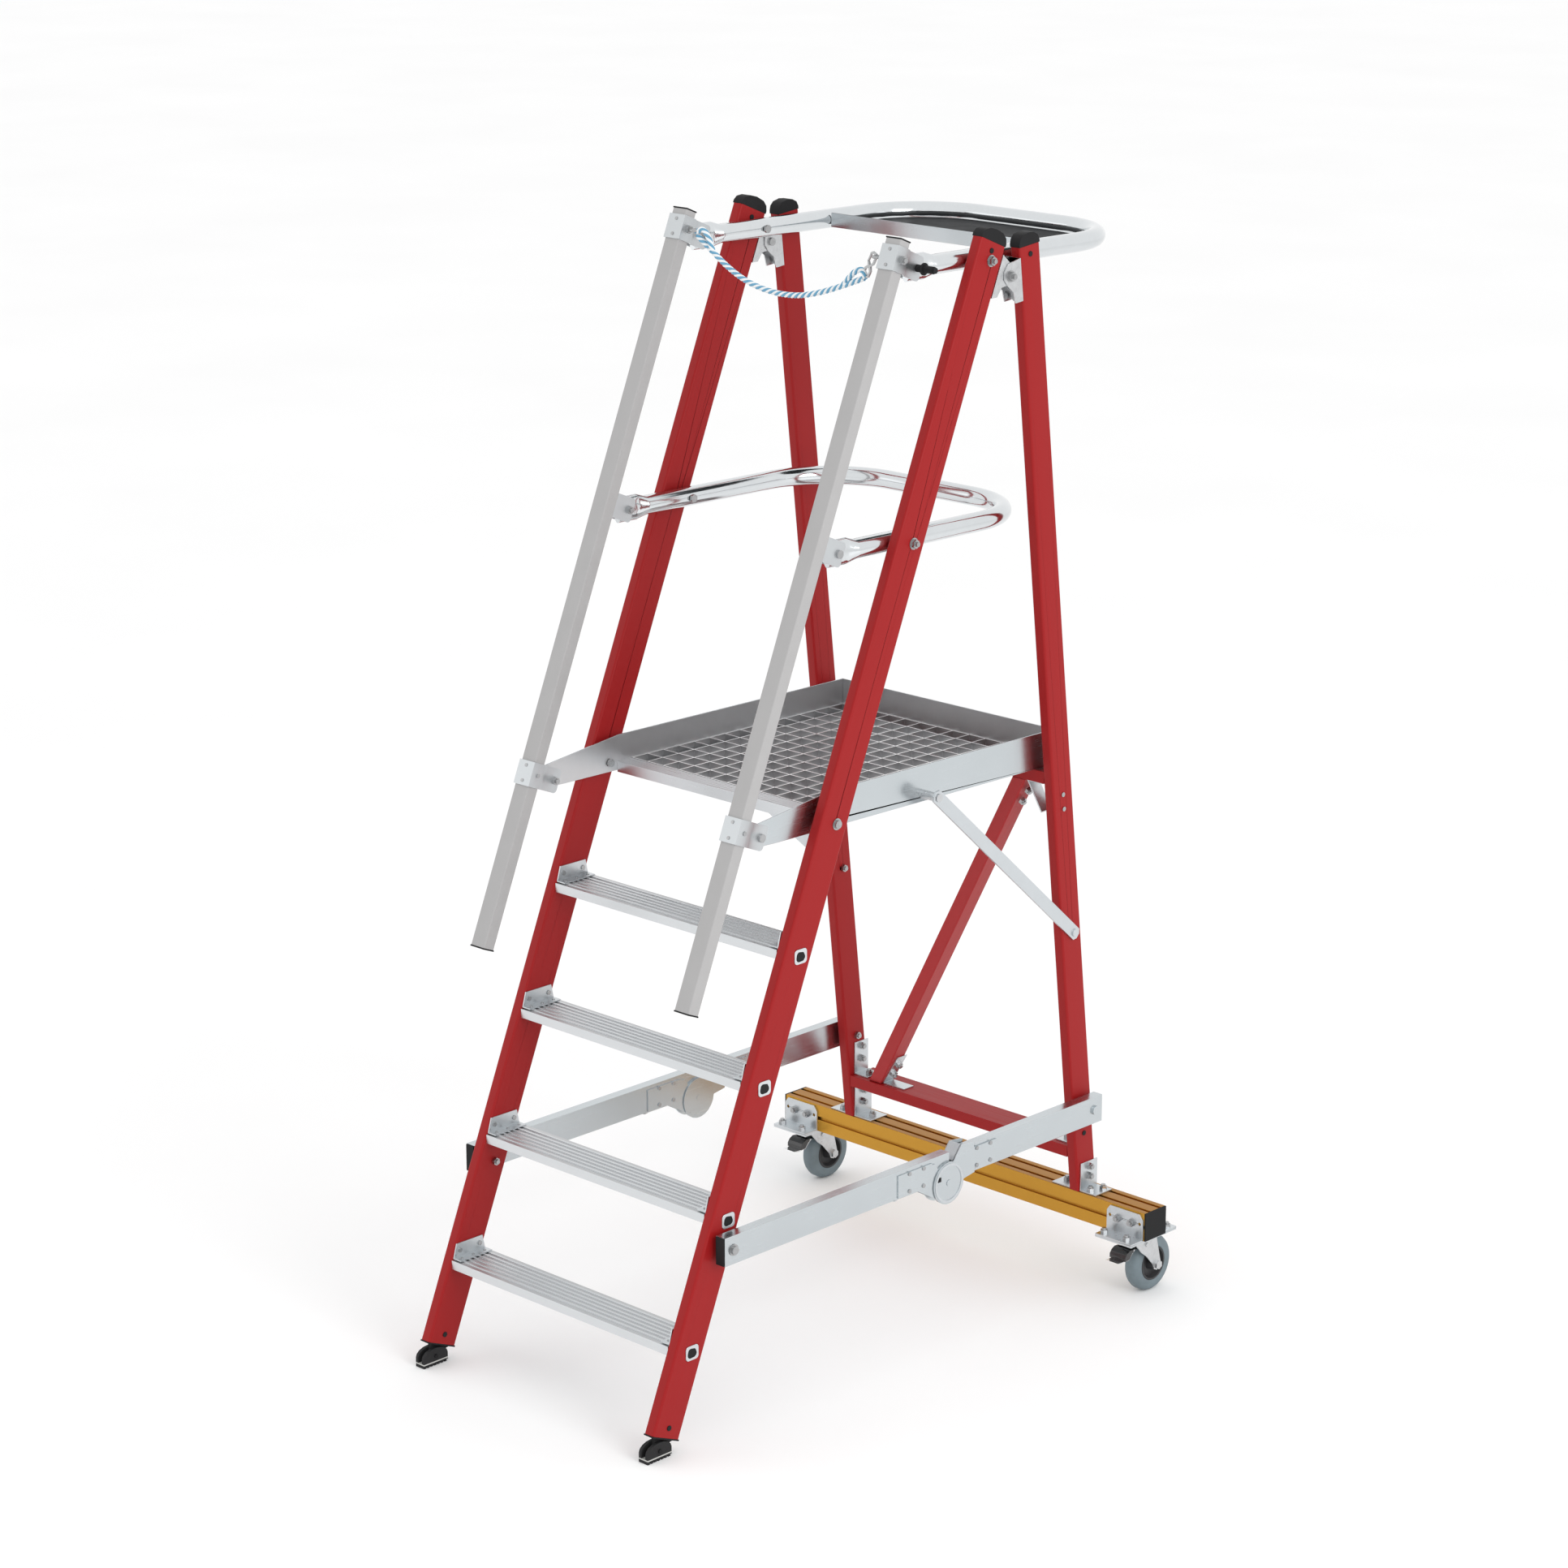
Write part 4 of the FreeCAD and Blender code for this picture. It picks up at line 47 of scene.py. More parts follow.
def make_camera():
    data = bpy.data.cameras.new("camera")
    data.lens = LENS_MM
    data.sensor_width = 36.0
    data.clip_end = 100.0
    camera = bpy.data.objects.new("camera", data)
    look = Vector((-math.sin(AZIMUTH) * math.cos(ELEVATION),
                   math.cos(AZIMUTH) * math.cos(ELEVATION), -math.sin(ELEVATION)))
    camera.rotation_mode = "QUATERNION"
    camera.location = CAMERA_AT
    turned = look.to_track_quat("-Z", "Y").to_matrix().to_4x4() @ Matrix.Rotation(ROLL, 4, "Z")
    camera.rotation_quaternion = turned.to_quaternion()
    bpy.context.scene.collection.objects.link(camera)
    bpy.context.scene.camera = camera
    return camera


# ------------------------------------------------------------ node helpers
class Shader:
    """A material being built: adds nodes and links them by socket name."""

    def __init__(self, name):
        self.material = bpy.data.materials.new(name)
        self.material.use_nodes = True
        self.tree = self.material.node_tree
        self.bsdf = self.tree.nodes["Principled BSDF"]
        self.coords = self.tree.nodes.new("ShaderNodeTexCoord").outputs["Object"]

    def node(self, kind, **values):
        made = self.tree.nodes.new("ShaderNode" + kind)
        for key, value in values.items():
            socket = key.replace("_", " ")
            if socket in made.inputs:
                self.feed(made.inputs[socket], value)
            else:
                setattr(made, key, value)
        return made

    def feed(self, socket, value):
        if isinstance(value, bpy.types.NodeSocket):
            self.tree.links.new(value, socket)
        else:
            socket.default_value = value

    def set(self, **values):
        for key, value in values.items():
            self.feed(self.bsdf.inputs[key.replace("_", " ")], value)

    def mapped(self, scale, turn=(0, 0, 0)):
        """Object coordinates turned, then scaled, so a large scale is a fine grain."""
        turned = self.node("Mapping", Vector=self.coords, Rotation=turn)
        return self.node("Mapping", Vector=turned.outputs[0], Scale=scale).outputs[0]

    def noise(self, vector, scale=1.0, detail=4.0, rough=0.55):
        return self.node("TexNoise", Vector=vector, Scale=scale, Detail=detail,
                         Roughness=rough).outputs["Fac"]

    def spread(self, value, low, high, start=0.3, end=0.7):
        made = self.node("MapRange", Value=value)
        for name, number in (("From Min", start), ("From Max", end), ("To Min", low),
                             ("To Max", high)):
            made.inputs[name].default_value = number
        return made.outputs[0]

    def blend(self, value, first, second):
        made = self.node("Mix", data_type="RGBA")
        self.feed(made.inputs[0], value)
        for socket, colour in ((made.inputs[6], first), (made.inputs[7], second)):
            self.feed(socket, (*colour, 1) if isinstance(colour, tuple) else colour)
        return made.outputs[2]

    def add(self, *values):
        total = values[0]
        for value in values[1:]:
            made = self.node("Math", operation="ADD")
            self.feed(made.inputs[0], total)
            self.feed(made.inputs[1], value)
            total = made.outputs[0]
        return total

    def scaled(self, value, factor):
        made = self.node("Math", operation="MULTIPLY")
        self.feed(made.inputs[0], value)
        self.feed(made.inputs[1], factor)
        return made.outputs[0]

    def bump(self, height, strength, distance):
        made = self.node("Bump", Height=height)
        made.inputs["Strength"].default_value = strength
        made.inputs["Distance"].default_value = distance
        self.set(Normal=made.outputs[0])


def shade(base, factor):
    return tuple(channel * factor for channel in base)


def fibreglass(name, turn, base=(0.31, 0.0085, 0.0095)):
    """Pultruded resin: faint glass strands running along the section under a satin skin."""
    s = Shader(name)
    strands = s.noise(s.mapped((420, 420, 5), turn), detail=3.0)
    cloud = s.noise(s.mapped((9, 9, 3), turn), detail=2.0)
    tone = s.add(s.scaled(strands, 0.6), s.scaled(cloud, 0.4))
    s.set(Base_Color=s.blend(s.spread(tone, 0, 1, 0.38, 0.62), shade(base, 0.975),
                             shade(base, 1.02)),
          Roughness=s.spread(strands, 0.36, 0.48), Specular_IOR_Level=0.2)
    peel = s.noise(s.mapped((160, 160, 90), turn), detail=2.0)
    s.bump(s.add(s.scaled(strands, 0.5), peel), 0.05, 0.0002)
    return s.material


def aluminium(name, grain, turn=(0, 0, 0), base=(0.66, 0.68, 0.70), rough=(0.24, 0.4)):
    """Extruded or drawn metal with fine lines along the grain direction."""
    s = Shader(name)
    lines = s.noise(s.mapped(grain, turn), detail=5.0, rough=0.7)
    cloud = s.noise(s.mapped((14, 14, 14)), detail=3.0)
    s.set(Base_Color=s.blend(s.spread(s.add(s.scaled(lines, 0.5), s.scaled(cloud, 0.5)), 0, 1),
                             shade(base, 0.97), shade(base, 1.03)),
          Metallic=1.0,
          Roughness=s.spread(s.add(s.scaled(lines, 0.7), s.scaled(cloud, 0.3)), *rough))
    s.bump(lines, 0.04, 0.0001)
    return s.material


def zinc(name, base=(0.60, 0.61, 0.62), rough=(0.26, 0.42)):
    """Plated steel: small mottled crystals and slightly uneven gloss."""
    s = Shader(name)
    cells = s.node("TexVoronoi", Vector=s.mapped((170, 170, 170)), Scale=1.0)
    cells = cells.outputs["Color"]
    mottled = s.noise(s.mapped((60, 60, 60)), detail=3.0)
    grey = s.node("RGBToBW", Color=cells).outputs[0]
    tone = s.add(s.scaled(grey, 0.35), s.scaled(mottled, 0.65))
    s.set(Base_Color=s.blend(s.spread(tone, 0, 1, 0.25, 0.75), shade(base, 0.88),
                             shade(base, 1.08)),
          Metallic=1.0, Roughness=s.spread(tone, *rough))
    s.bump(mottled, 0.08, 0.0003)
    return s.material


def plastic(name, base, rough=(0.36, 0.52), grain=900.0, strength=0.18, vary=(0.85, 1.2),
            specular=0.4):
    """Moulded plastic or rubber with a fine sparked texture."""
    s = Shader(name)
    fine = s.noise(s.mapped((grain, grain, grain)), detail=2.0)
    cloud = s.noise(s.mapped((18, 18, 18)), detail=3.0)
    s.set(Base_Color=s.blend(s.spread(cloud, 0, 1), shade(base, vary[0]), shade(base, vary[1])),
          Roughness=s.spread(cloud, *rough), Specular_IOR_Level=specular)
    s.bump(fine, strength, 0.0003)
    return s.material


def sole_rubber(name):
    """Black rubber with a pale line above the teeth of its sole."""
    s = Shader(name)
    place = s.node("SeparateXYZ", Vector=s.coords)
    low = s.node("Math", operation="LESS_THAN")
    s.feed(low.inputs[0], place.outputs["Z"])
    s.feed(low.inputs[1], 0.0095)
    high = s.node("Math", operation="GREATER_THAN")
    s.feed(high.inputs[0], place.outputs["Z"])
    s.feed(high.inputs[1], 0.0068)
    fine = s.noise(s.mapped((700, 700, 700)), detail=2.0)
    line = s.scaled(low.outputs[0], high.outputs[0])
    s.set(Base_Color=s.blend(line, (0.015, 0.015, 0.016), (0.5, 0.5, 0.48)),
          Roughness=s.spread(fine, 0.6, 0.75), Specular_IOR_Level=0.3)
    s.bump(fine, 0.3, 0.0003)
    return s.material


def rope_yarn(name, base, second):
    s = Shader(name)
    yarn = s.noise(s.mapped((1400, 1400, 1400)), detail=3.0)
    cloud = s.noise(s.mapped((60, 60, 60)), detail=2.0)
    s.set(Base_Color=s.blend(s.spread(yarn, 0, 1), base, second), Roughness=s.spread(
        cloud, 0.6, 0.8), Sheen_Weight=0.25)
    s.bump(yarn, 0.5, 0.0008)
    return s.material


FRONT_LEAN = (math.radians(22.44), 0, 0)
REAR_LEAN = (math.radians(-6.5), 0, 0)
LOOKS = {
    "red_front": fibreglass("red_front", FRONT_LEAN),
    "red_rear": fibreglass("red_rear", REAR_LEAN),
    "red_brace": fibreglass("red_brace", (0, math.radians(-31), 0), (0.38, 0.026, 0.028)),
    "red_bars": fibreglass("red_bars", (0, math.radians(90), 0)),
    "across": aluminium("aluminium_across", (5, 500, 500)),
    "tread": aluminium("aluminium_tread", (1, 60, 60), base=(0.68, 0.70, 0.715),
                       rough=(0.36, 0.42)),
    # groove floors: the tread aluminium painted darker, as painted shade in the recesses between
    # the ribs
    "groove_painted_shade": aluminium("aluminium_groove_painted_shade", (1, 60, 60), base=(0.58, 0.59, 0.6),
                        rough=(0.4, 0.46)),
    "along": aluminium("aluminium_along", (500, 5, 500), base=(0.55, 0.588, 0.608),
                       rough=(0.2, 0.3)),
    "sheet": aluminium("aluminium_sheet", (40, 40, 40), base=(0.6, 0.63, 0.65)),
    # a shaded copy of the aluminium for faces chosen by the way they face: painted shade
    "inner": aluminium("aluminium_shaded", (60, 60, 60), base=(0.6, 0.605, 0.615),
                       rough=(0.3, 0.36)),
    # grating aluminium painted dark: painted shade in the cells between the bars
    "grate_painted_shade": aluminium("aluminium_grate_painted_shade", (60, 60, 60), base=(0.44, 0.442, 0.45),
                       rough=(0.3, 0.4)),
    "hand_rail": plastic("powder_coated_rail", (0.40, 0.395, 0.395), (0.5, 0.62), 700.0, 0.04,
                         (0.98, 1.02), 0.3),
    "guard": aluminium("aluminium_guard", (90, 90, 90), base=(0.66, 0.685, 0.7),
                       rough=(0.09, 0.16)),
    "clamp": aluminium("aluminium_clamp", (40, 40, 40), base=(0.57, 0.595, 0.61),
                       rough=(0.34, 0.44)),
    "gold": aluminium("aluminium_gold", (5, 500, 500), base=(0.57, 0.295, 0.045),
                      rough=(0.28, 0.4)),
    # the gold beam's upward faces painted darker: painted shade on its top
    "gold_top_painted_shade": aluminium("aluminium_gold_top_painted_shade", (5, 500, 500), base=(0.37, 0.165, 0.018),
                          rough=(0.3, 0.42)),
    "zinc": zinc("zinc_steel"),
    "bright": zinc("bright_steel", (0.72, 0.73, 0.74), (0.12, 0.22)),
    "black": plastic("black_plastic", (0.014, 0.014, 0.015), (0.55, 0.7), specular=0.16),
    "tray": plastic("tray_dark", (0.012, 0.013, 0.015), (0.5, 0.62), 500.0, 0.2, (0.9, 1.1), 0.12),
    "block": plastic("polished_black", (0.01, 0.01, 0.011), (0.08, 0.16), 300.0, 0.05,
                     (0.9, 1.1), 0.8),
    "shoe": sole_rubber("shoe_rubber"),
    # the grating's upward faces painted near white: painted highlight on the tops of the bars
    "grate_top_painted_highlight": aluminium("aluminium_grate_top_painted_highlight", (60, 60, 60), base=(0.86, 0.86, 0.86),
                           rough=(0.4, 0.55)),
    "bolt": zinc("zinc_bolts", (0.42, 0.425, 0.43), (0.24, 0.36)),
    "tyre": plastic("tyre_rubber", (0.15, 0.19, 0.21), (0.5, 0.65), 700.0, 0.2),
    "hub": plastic("wheel_plastic", (0.03, 0.03, 0.032)),
    "rope_white": rope_yarn("rope_white", (0.74, 0.76, 0.77), (0.9, 0.92, 0.92)),
    "rope_blue": rope_yarn("rope_blue", (0.08, 0.28, 0.45), (0.16, 0.40, 0.58)),
}
NODE_LOOKS = {
    "red_front": ("front_stile_right", "front_stile_left"),
    "red_rear": ("rear_stile_right", "rear_stile_left"),
    "red_brace": ("diagonal_brace",),
    "red_bars": ("cross_bars",),
    "black": ("front_stile_caps", "foot_holders", "rear_stile_caps", "beam_end_caps",
              "handrail_caps_right", "handrail_caps_left", "pin_sleeve", "spreader_plug_right",
              "spreader_plug_left"),
    "block": ("brake_block_right", "brake_block_left"),
    "shoe": ("foot_shoe_right", "foot_shoe_left"),
    "tread": ("treads",),
    "across": ("rung_tubes", "platform_nosing", "platform_toe_board"),
    "along": ("platform_sides", "spreader_front_right",
              "spreader_front_left", "spreader_rear_right", "spreader_rear_left"),
    "sheet": ("strut_right", "strut_left", "tread_brackets", "rear_angles", "caster_mounts"),
    "grate_painted_shade": ("platform_grating",),
    "hand_rail": ("handrail_right", "handrail_left"),
    "guard": ("top_rail", "mid_rail"),
    "clamp": ("clamps_right", "clamps_left"),
    "zinc": ("front_hinge_brackets", "rear_hinge_brackets", "caster_fork_right",
             "caster_fork_left", "strut_studs", "spreader_lever_right", "spreader_lever_left"),
    "bright": ("brake_pedal_right", "brake_pedal_left"),
    "bolt": ("snap_hook", "snap_gate", "front_fasteners", "rear_fasteners"),
    "gold": ("rear_beam",),
    "tray": ("tool_tray",),
    "tyre": ("tyre_right", "tyre_left"),
    "hub": ("wheel_hub_right", "wheel_hub_left"),
    "rope_white": ("barrier_rope",),
}
EDGE_ROUND = {"default": 0.0005, "tread": 0.0002, "grate_painted_shade": 0.0002, "red_front": 0.0008,
              "red_rear": 0.0008, "red_brace": 0.003, "black": 0.0009, "gold": 0.0008,
              "tyre": 0.002, "across": 0.0007, "along": 0.0007}


def finish_node(node, look):
    """Gives a CAD node its material, soft edges and smooth curved faces."""
    mesh = node.data
    mesh.materials.clear()
    mesh.materials.append(LOOKS[look])
    mesh.polygons.foreach_set("use_smooth", [True] * len(mesh.polygons))
    if "custom_normal" in mesh.attributes:
        mesh.attributes.remove(mesh.attributes["custom_normal"])
    weld = node.modifiers.new("weld", "WELD")
    weld.merge_threshold = 0.00001
    bevel = node.modifiers.new("soft_edges", "BEVEL")
    bevel.width = EDGE_ROUND.get(look, EDGE_ROUND["default"])
    bevel.segments = 2
    bevel.limit_method = "ANGLE"
    bevel.angle_limit = math.radians(38)
    bevel.use_clamp_overlap = True
    bevel.harden_normals = True


def paint_faces(name, look, chosen):
    """A second material on the CAD faces that chosen accepts."""
    mesh = NODES[name].data
    mesh.materials.append(LOOKS[look])
    index = len(mesh.materials) - 1
    for face in mesh.polygons:
        if chosen(face):
            face.material_index = index


def faces_middle(face):
    """True on a face that looks towards the ladder's middle plane."""
    return face.normal.x * face.center.x < -0.9 * abs(face.center.x)


def faces_front(face):
    return face.normal.y < -0.8


def faces_up(face):
    return face.normal.z > 0.8


def islands(mesh):
    """Groups of face numbers that share corner places, one group for each solid."""
    owner = {}
    groups = []
    for face in mesh.polygons:
        keys = [tuple(round(c, 5) for c in mesh.vertices[i].co) for i in face.vertices]
        found = {id(owner[key]): owner[key] for key in keys if key in owner}
        home = {"faces": [], "keys": []}
        if found:
            home = max(found.values(), key=lambda group: len(group["keys"]))
        else:
            groups.append(home)
        for other in found.values():
            if other is not home:
                home["faces"] += other["faces"]
                home["keys"] += other["keys"]
                for key in other["keys"]:
                    owner[key] = home
                other["faces"] = []
        home["faces"].append(face.index)
        for key in keys:
            if key not in owner:
                home["keys"].append(key)
            owner[key] = home
    return [group for group in groups if group["faces"]]


def paint_small_solids(name, look, limit):
    """A second material on the solids of a node that are shorter than the limit."""
    mesh = NODES[name].data
    mesh.materials.append(LOOKS[look])
    index = len(mesh.materials) - 1
    for group in islands(mesh):
        spans = [max(key[k] for key in group["keys"]) - min(key[k] for key in group["keys"])
                 for k in range(3)]
        if max(spans) < limit:
            for number in group["faces"]:
                mesh.polygons[number].material_index = index


ELBOW_Y = 0.0895
ELBOW_Z = 0.3695
ELBOW_RIVETS = (-0.118, -0.075, 0.0895, 0.132)
RIVET_LEVELS = (0.014, 0.052)
RIVET_REACH = 0.0055
PLATE_FACES = (0.3525, 0.38255)


def elbow_rivet(face):
    """True on the heads that hold the elbow plates to the spreader bars."""
    y = face.center.y - ELBOW_Y
    z = face.center.z - ELBOW_Z
    return (not PLATE_FACES[0] < abs(face.center.x) < PLATE_FACES[1]
            and min(abs(y - place) for place in ELBOW_RIVETS) < RIVET_REACH
            and min(abs(z - level) for level in RIVET_LEVELS) < RIVET_REACH)


TREAD_PITCH = 0.25
TREAD_LEVEL = 0.2185
GROOVE_REACH = 0.0004


def tread_groove(face):
    """True on the floor of the grooves between the ribs."""
    above = (face.center.z - TREAD_LEVEL) % TREAD_PITCH
    return face.normal.z > 0.9 and min(above, TREAD_PITCH - above) < GROOVE_REACH


CLAMP_SCREW = 0.056
BRACKET_RIVET = 0.03


def dress_nodes():
    for look, names in NODE_LOOKS.items():
        for name in names:
            finish_node(NODES[name], look)
    # faces towards the middle, and on the next line the toe board's front faces, get the
    # painted-shade copy of the aluminium
    paint_faces("platform_sides", "inner", faces_middle)
    paint_faces("platform_toe_board", "inner", faces_front)
    paint_faces("tool_tray", "along", faces_front)
    # upward faces of the grating get the painted highlight; the other faces keep the painted shade
    paint_faces("platform_grating", "grate_top_painted_highlight", faces_up)
    # upward faces of the rear beam get the darker gold: painted shade
    paint_faces("rear_beam", "gold_top_painted_shade", faces_up)
    # the groove floors between the ribs get the darker copy of the tread aluminium: painted shade
    paint_faces("treads", "groove_painted_shade", tread_groove)
    for name in ("clamps_right", "clamps_left"):
        paint_small_solids(name, "bolt", CLAMP_SCREW)
    for name in ("tread_brackets", "rear_angles"):
        paint_small_solids(name, "bolt", BRACKET_RIVET)
    for half in ("front", "rear"):
        for side in ("right", "left"):
            paint_faces(f"spreader_{half}_{side}", "bolt", elbow_rivet)


# ------------------------------------------------------------- elbow parts
def linked_object(name, mesh, look):
    mesh.materials.append(LOOKS[look])
    made = bpy.data.objects.new(name, mesh)
    bpy.context.scene.collection.objects.link(made)
    return made


def slab_mesh(name, outline, low, high, look):
    """A closed outline of (y, z) points, counterclockwise from +X, from x = low to x = high."""
    count = len(outline)
    corners = [(x, y, z) for x in (low, high) for y, z in outline]
    faces = [tuple(reversed(range(count))), tuple(range(count, 2 * count))]
    for k in range(count):
        following = (k + 1) % count
        faces.append((k, following, following + count, k + count))
    mesh = bpy.data.meshes.new(name)
    mesh.from_pydata(corners, [], faces)
    return linked_object(name, mesh, look)


def ring_mesh(name, centre, inner, outer, thick, side, look):
    """Flat ring standing on the outer face of an elbow disc."""
    steps = 64
    corners = []
    for radius, rise in ((inner, 0), (outer, 0), (outer, thick), (inner, thick)):
        for k in range(steps):
            angle = 2 * math.pi * k / steps
            corners.append((centre[0] + side * rise, centre[1] + radius * math.cos(angle),
                            centre[2] + radius * math.sin(angle)))
    faces = []
    for band in range(4):
        for k in range(steps):
            a = band * steps + k
            b = band * steps + (k + 1) % steps
            c = (band + 1) % 4 * steps + (k + 1) % steps
            d = (band + 1) % 4 * steps + k
            faces.append((a, b, c, d) if side > 0 else (d, c, b, a))
    mesh = bpy.data.meshes.new(name)
    mesh.from_pydata(corners, [], faces)
    return linked_object(name, mesh, look)


DISC_FACE = 0.3855
RIM_RADII = (0.0375, 0.0425)
RIM_THICK = 0.0012
CATCH_DEPTH = (-0.0003, 0.0004)
BAR_SPAN = (0.3532, 0.3820)
CATCH = ((-0.034, 0.009), (-0.024, 0.009), (-0.024, 0.019), (-0.034, 0.019))
BRIDGE = ((0.0165, 0.0433), (0.0405, 0.0735), (0.0385, 0.0752), (0.0145, 0.0448))


def elbow_outline(points):
    return [(ELBOW_Y + y, ELBOW_Z + z) for y, z in points]


def make_elbow_parts():
    """Rim of each elbow disc, the window of its catch and the bent web between its plates."""
    for name, side in (("right", 1), ("left", -1)):
        centre = (side * DISC_FACE, ELBOW_Y, ELBOW_Z)
        rim = ring_mesh("elbow_rim_" + name, centre, *RIM_RADII, RIM_THICK, side, "sheet")
        xs = sorted(side * (DISC_FACE + depth) for depth in CATCH_DEPTH)
        catch = slab_mesh("elbow_catch_" + name, elbow_outline(CATCH), *xs, "black")
        xs = sorted(side * reach for reach in BAR_SPAN)
        web = slab_mesh("elbow_web_" + name, elbow_outline(BRIDGE), *xs, "sheet")
        for piece, slot in ((rim, "aluminium"), (catch, "black_plastic"), (web, "aluminium")):
            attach(piece, "spreader_rear_" + name)


# -------------------------------------------------------------------- rope
ROPE_AT = (-0.2535, 0.00058, 2.29499)
ROPE_SAG = ((7.5, -10), (48.5, -36.5), (93.5, -65.5), (143.5, -87.5), (195.5, -99.5),
            (248.5, -103.5), (301.5, -100), (353.5, -87.5), (403.5, -71), (443.5, -56.5),
            (470, -46.3))
ROPE_D = 0.012


def rope_route(offsets):
    """Points of a smooth line through offsets from the left eye, in millimetres."""
    data = bpy.data.curves.new("rope_line", "CURVE")
    data.dimensions = "3D"
    data.resolution_u = 12
    spline = data.splines.new("NURBS")
    spline.points.add(len(offsets) - 1)
    for point, (dx, dz) in zip(spline.points, offsets):
        point.co = (ROPE_AT[0] + dx / 1000, ROPE_AT[1], ROPE_AT[2] + dz / 1000, 1)
    spline.order_u = 3
    spline.use_endpoint_u = True
    line = bpy.data.objects.new("rope_line", data)
    bpy.context.scene.collection.objects.link(line)
    bpy.context.view_layer.update()
    mesh = bpy.data.meshes.new_from_object(line)
    points = [v.co.copy() for v in mesh.vertices]
    bpy.data.objects.remove(line)
    return points


def tube_rings(centres, radius, sides):
    """Vertices and faces of a capped tube through the centres."""
    vertices = []
    faces = []
    side = Vector((0, 1, 0))
    for i, centre in enumerate(centres):
        ahead = (centres[min(i + 1, len(centres) - 1)] - centres[max(i - 1, 0)]).normalized()
        up = ahead.cross(side).normalized()
        across = up.cross(ahead)
        for k in range(sides):
            angle = 2 * math.pi * k / sides
            vertices.append(centre + up * (radius * math.cos(angle))
                            + across * (radius * math.sin(angle)))
    for i in range(len(centres) - 1):
        for k in range(sides):
            a = i * sides + k
            b = i * sides + (k + 1) % sides
            faces.append((a, b, b + sides, a + sides))
    faces.append(tuple(reversed(range(sides))))
    faces.append(tuple(range((len(centres) - 1) * sides, len(centres) * sides)))
    return vertices, faces


def resample(points, step):
    """The same line with points evenly spaced."""
    lengths = [0.0]
    for a, b in zip(points, points[1:]):
        lengths.append(lengths[-1] + (b - a).length)
    count = max(2, round(lengths[-1] / step))
    made = []
    index = 0
    for i in range(count + 1):
        want = lengths[-1] * i / count
        while index < len(points) - 2 and lengths[index + 1] < want:
            index += 1
        span = lengths[index + 1] - lengths[index]
        made.append(points[index].lerp(points[index + 1], (want - lengths[index]) / span))
    return made, lengths[-1]


STRANDS = 4
STRAND_SHARE = 0.225
ROPE_LAY = 0.036
ROPE_STEP = 0.0016
LEFT_EYE = ((5, -5), (13, 3), (25, 4), (36, -6), (44, -20), (51, -38))
RIGHT_EYE = ((414, -67), (434, -46), (450, -33), (464, -29), (474, -35), (472, -46))


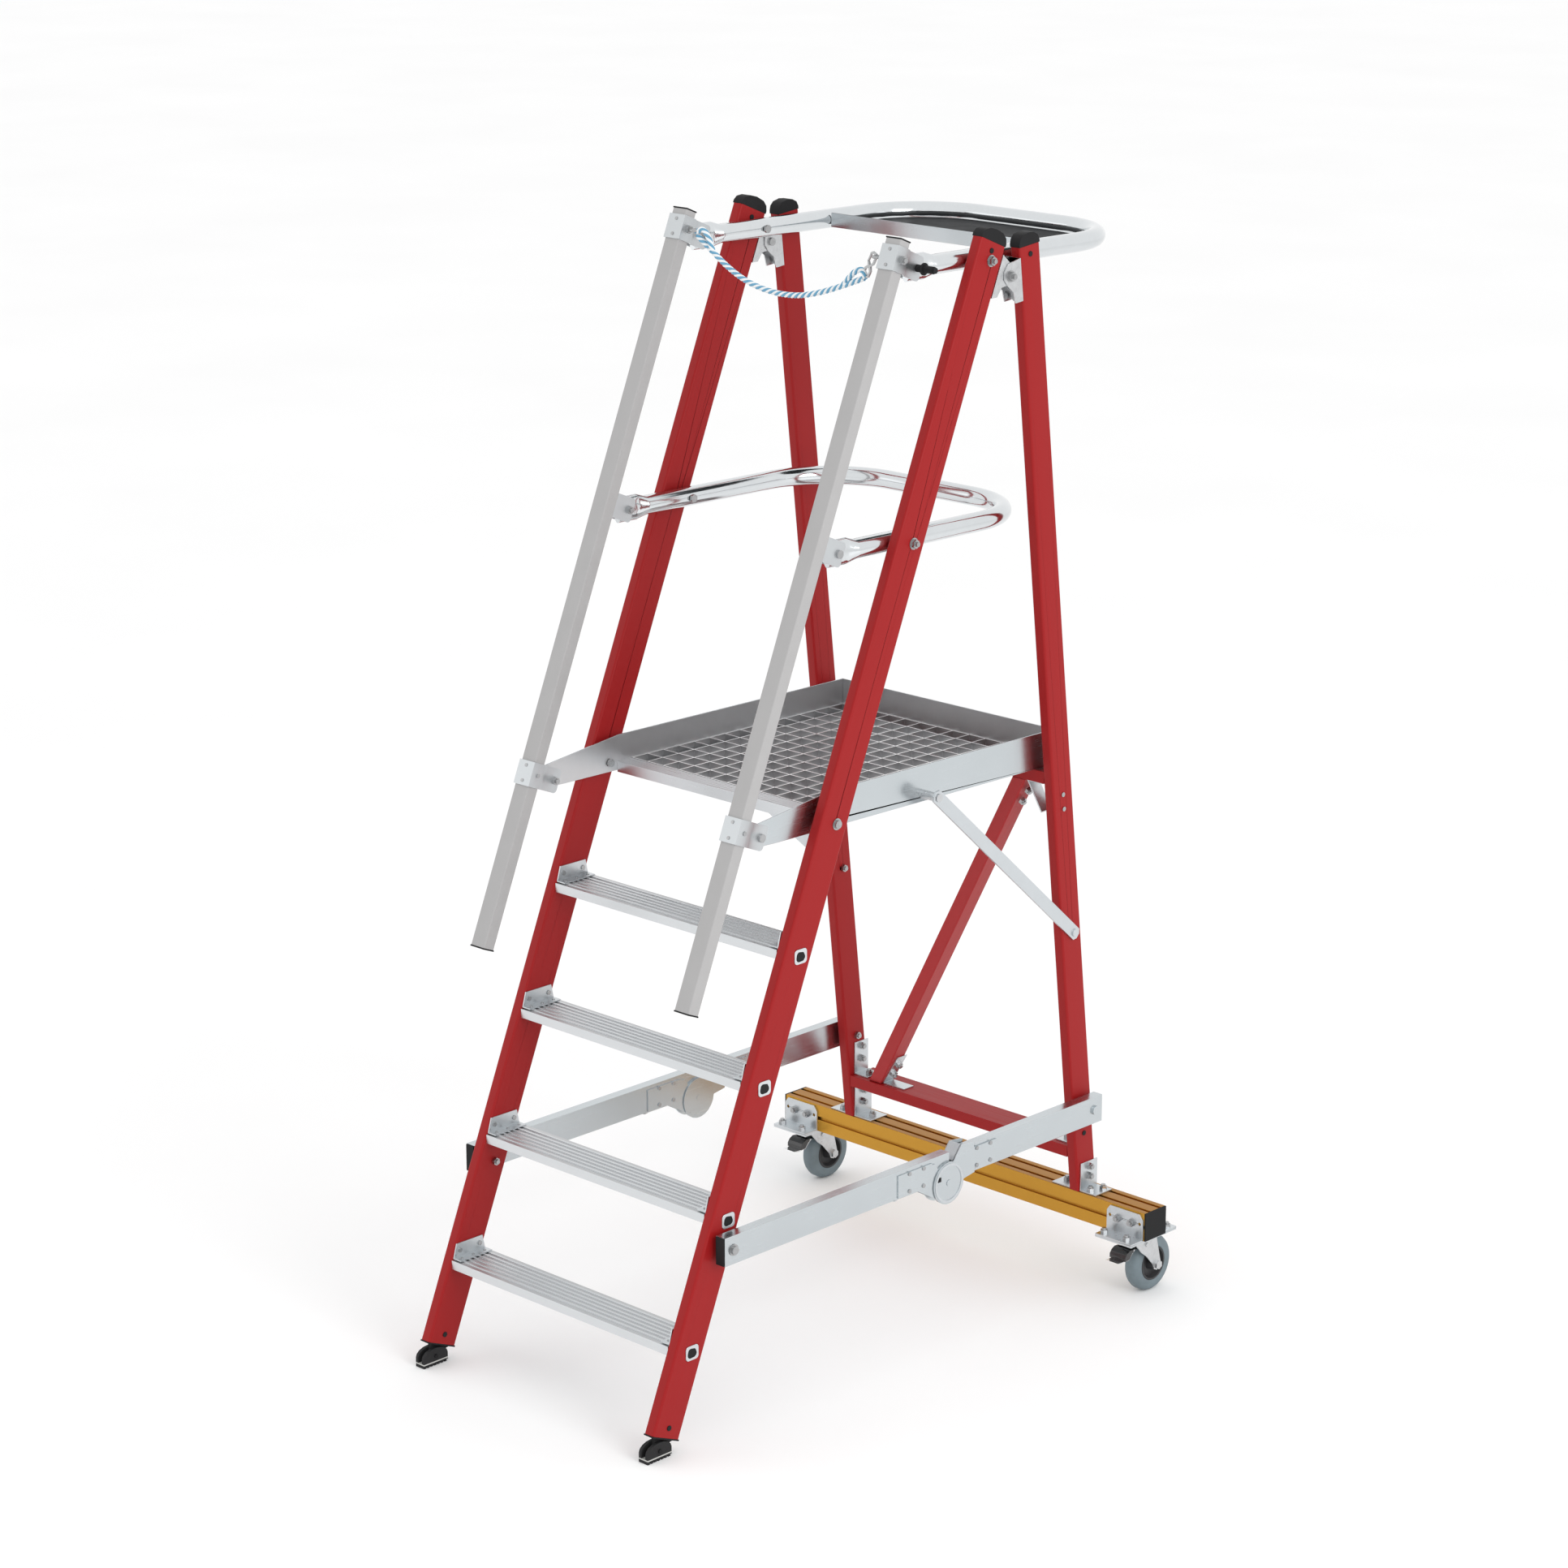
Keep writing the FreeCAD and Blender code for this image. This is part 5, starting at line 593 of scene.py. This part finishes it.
def twisted(name, line, length):
    """Rope of twisted strands along the line, every other strand blue."""
    strand_r = ROPE_D * STRAND_SHARE
    offset = ROPE_D / 2 - strand_r
    vertices = []
    faces = []
    slots = []
    for strand in range(STRANDS):
        centres = []
        for i, point in enumerate(line):
            ahead = (line[min(i + 1, len(line) - 1)] - line[max(i - 1, 0)]).normalized()
            up = ahead.cross(Vector((0, 1, 0))).normalized()
            across = up.cross(ahead)
            run = i * length / (len(line) - 1)
            angle = 2 * math.pi * (run / ROPE_LAY + strand / STRANDS)
            centres.append(point + (up * math.cos(angle) + across * math.sin(angle)) * offset)
        ring, sides = tube_rings(centres, strand_r, 12)
        base = len(vertices)
        vertices += ring
        faces += [tuple(index + base for index in face) for face in sides]
        slots += [strand % 2] * len(sides)
    mesh = bpy.data.meshes.new(name)
    mesh.from_pydata([tuple(vertex) for vertex in vertices], [], faces)
    mesh.materials.append(LOOKS["rope_white"])
    mesh.materials.append(LOOKS["rope_blue"])
    mesh.polygons.foreach_set("material_index", slots)
    mesh.polygons.foreach_set("use_smooth", [True] * len(faces))
    rope = bpy.data.objects.new(name, mesh)
    bpy.context.scene.collection.objects.link(rope)
    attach(rope, "hand_rail_left")
    return rope


def make_rope():
    """The slack rope and the second leg of the spliced eye at each of its ends."""
    for name, points in (("rope_eye_left", LEFT_EYE), ("rope_eye_right", RIGHT_EYE)):
        line, length = resample(rope_route(points), ROPE_STEP)
        twisted(name, line, length)
    line, length = resample(rope_route(ROPE_SAG), ROPE_STEP)
    rope = twisted("twisted_rope", line, length)
    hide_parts("barrier_rope")


# ------------------------------------------------------------------- studio
def area_light(name, place, target, size, watts, tint=(1, 1, 1)):
    data = bpy.data.lights.new(name, "AREA")
    data.shape = "RECTANGLE"
    data.size, data.size_y = size
    data.energy = watts
    data.color = tint
    lamp = bpy.data.objects.new(name, data)
    lamp.location = place
    lamp.rotation_mode = "QUATERNION"
    lamp.rotation_quaternion = (Vector(target) - Vector(place)).to_track_quat("-Z", "Y")
    bpy.context.scene.collection.objects.link(lamp)


def make_studio():
    mesh = bpy.data.meshes.new("floor")
    half = 30.0
    mesh.from_pydata([(-half, -half, 0), (half, -half, 0), (half, half, 0), (-half, half, 0)],
                     [], [(0, 1, 2, 3)])
    s = Shader("floor_pale")
    cloud = s.noise(s.mapped((0.8, 0.8, 0.8)), detail=2.0)
    s.set(Base_Color=s.blend(s.spread(cloud, 0, 1), (0.93, 0.93, 0.93), (0.95, 0.95, 0.95)),
          Roughness=0.9, Specular_IOR_Level=0.1)
    mesh.materials.append(s.material)
    floor = bpy.data.objects.new("floor", mesh)
    bpy.context.scene.collection.objects.link(floor)
    world = bpy.data.worlds.new("studio")
    world.use_nodes = True
    back = world.node_tree.nodes["Background"]
    back.inputs[0].default_value = (1, 1, 1, 1)
    back.inputs[1].default_value = 1.05
    bpy.context.scene.world = world
    area_light("key", (6.0, -0.5, 3.6), (0, 0, 1.1), (3.0, 3.0), 110)
    area_light("fill", (-4.5, -4.5, 2.5), (0, 0, 1.1), (3.5, 3.5), 12)
    bpy.context.scene.view_settings.view_transform = "Standard"


make_camera()
dress_nodes()
make_elbow_parts()
make_rope()
make_studio()
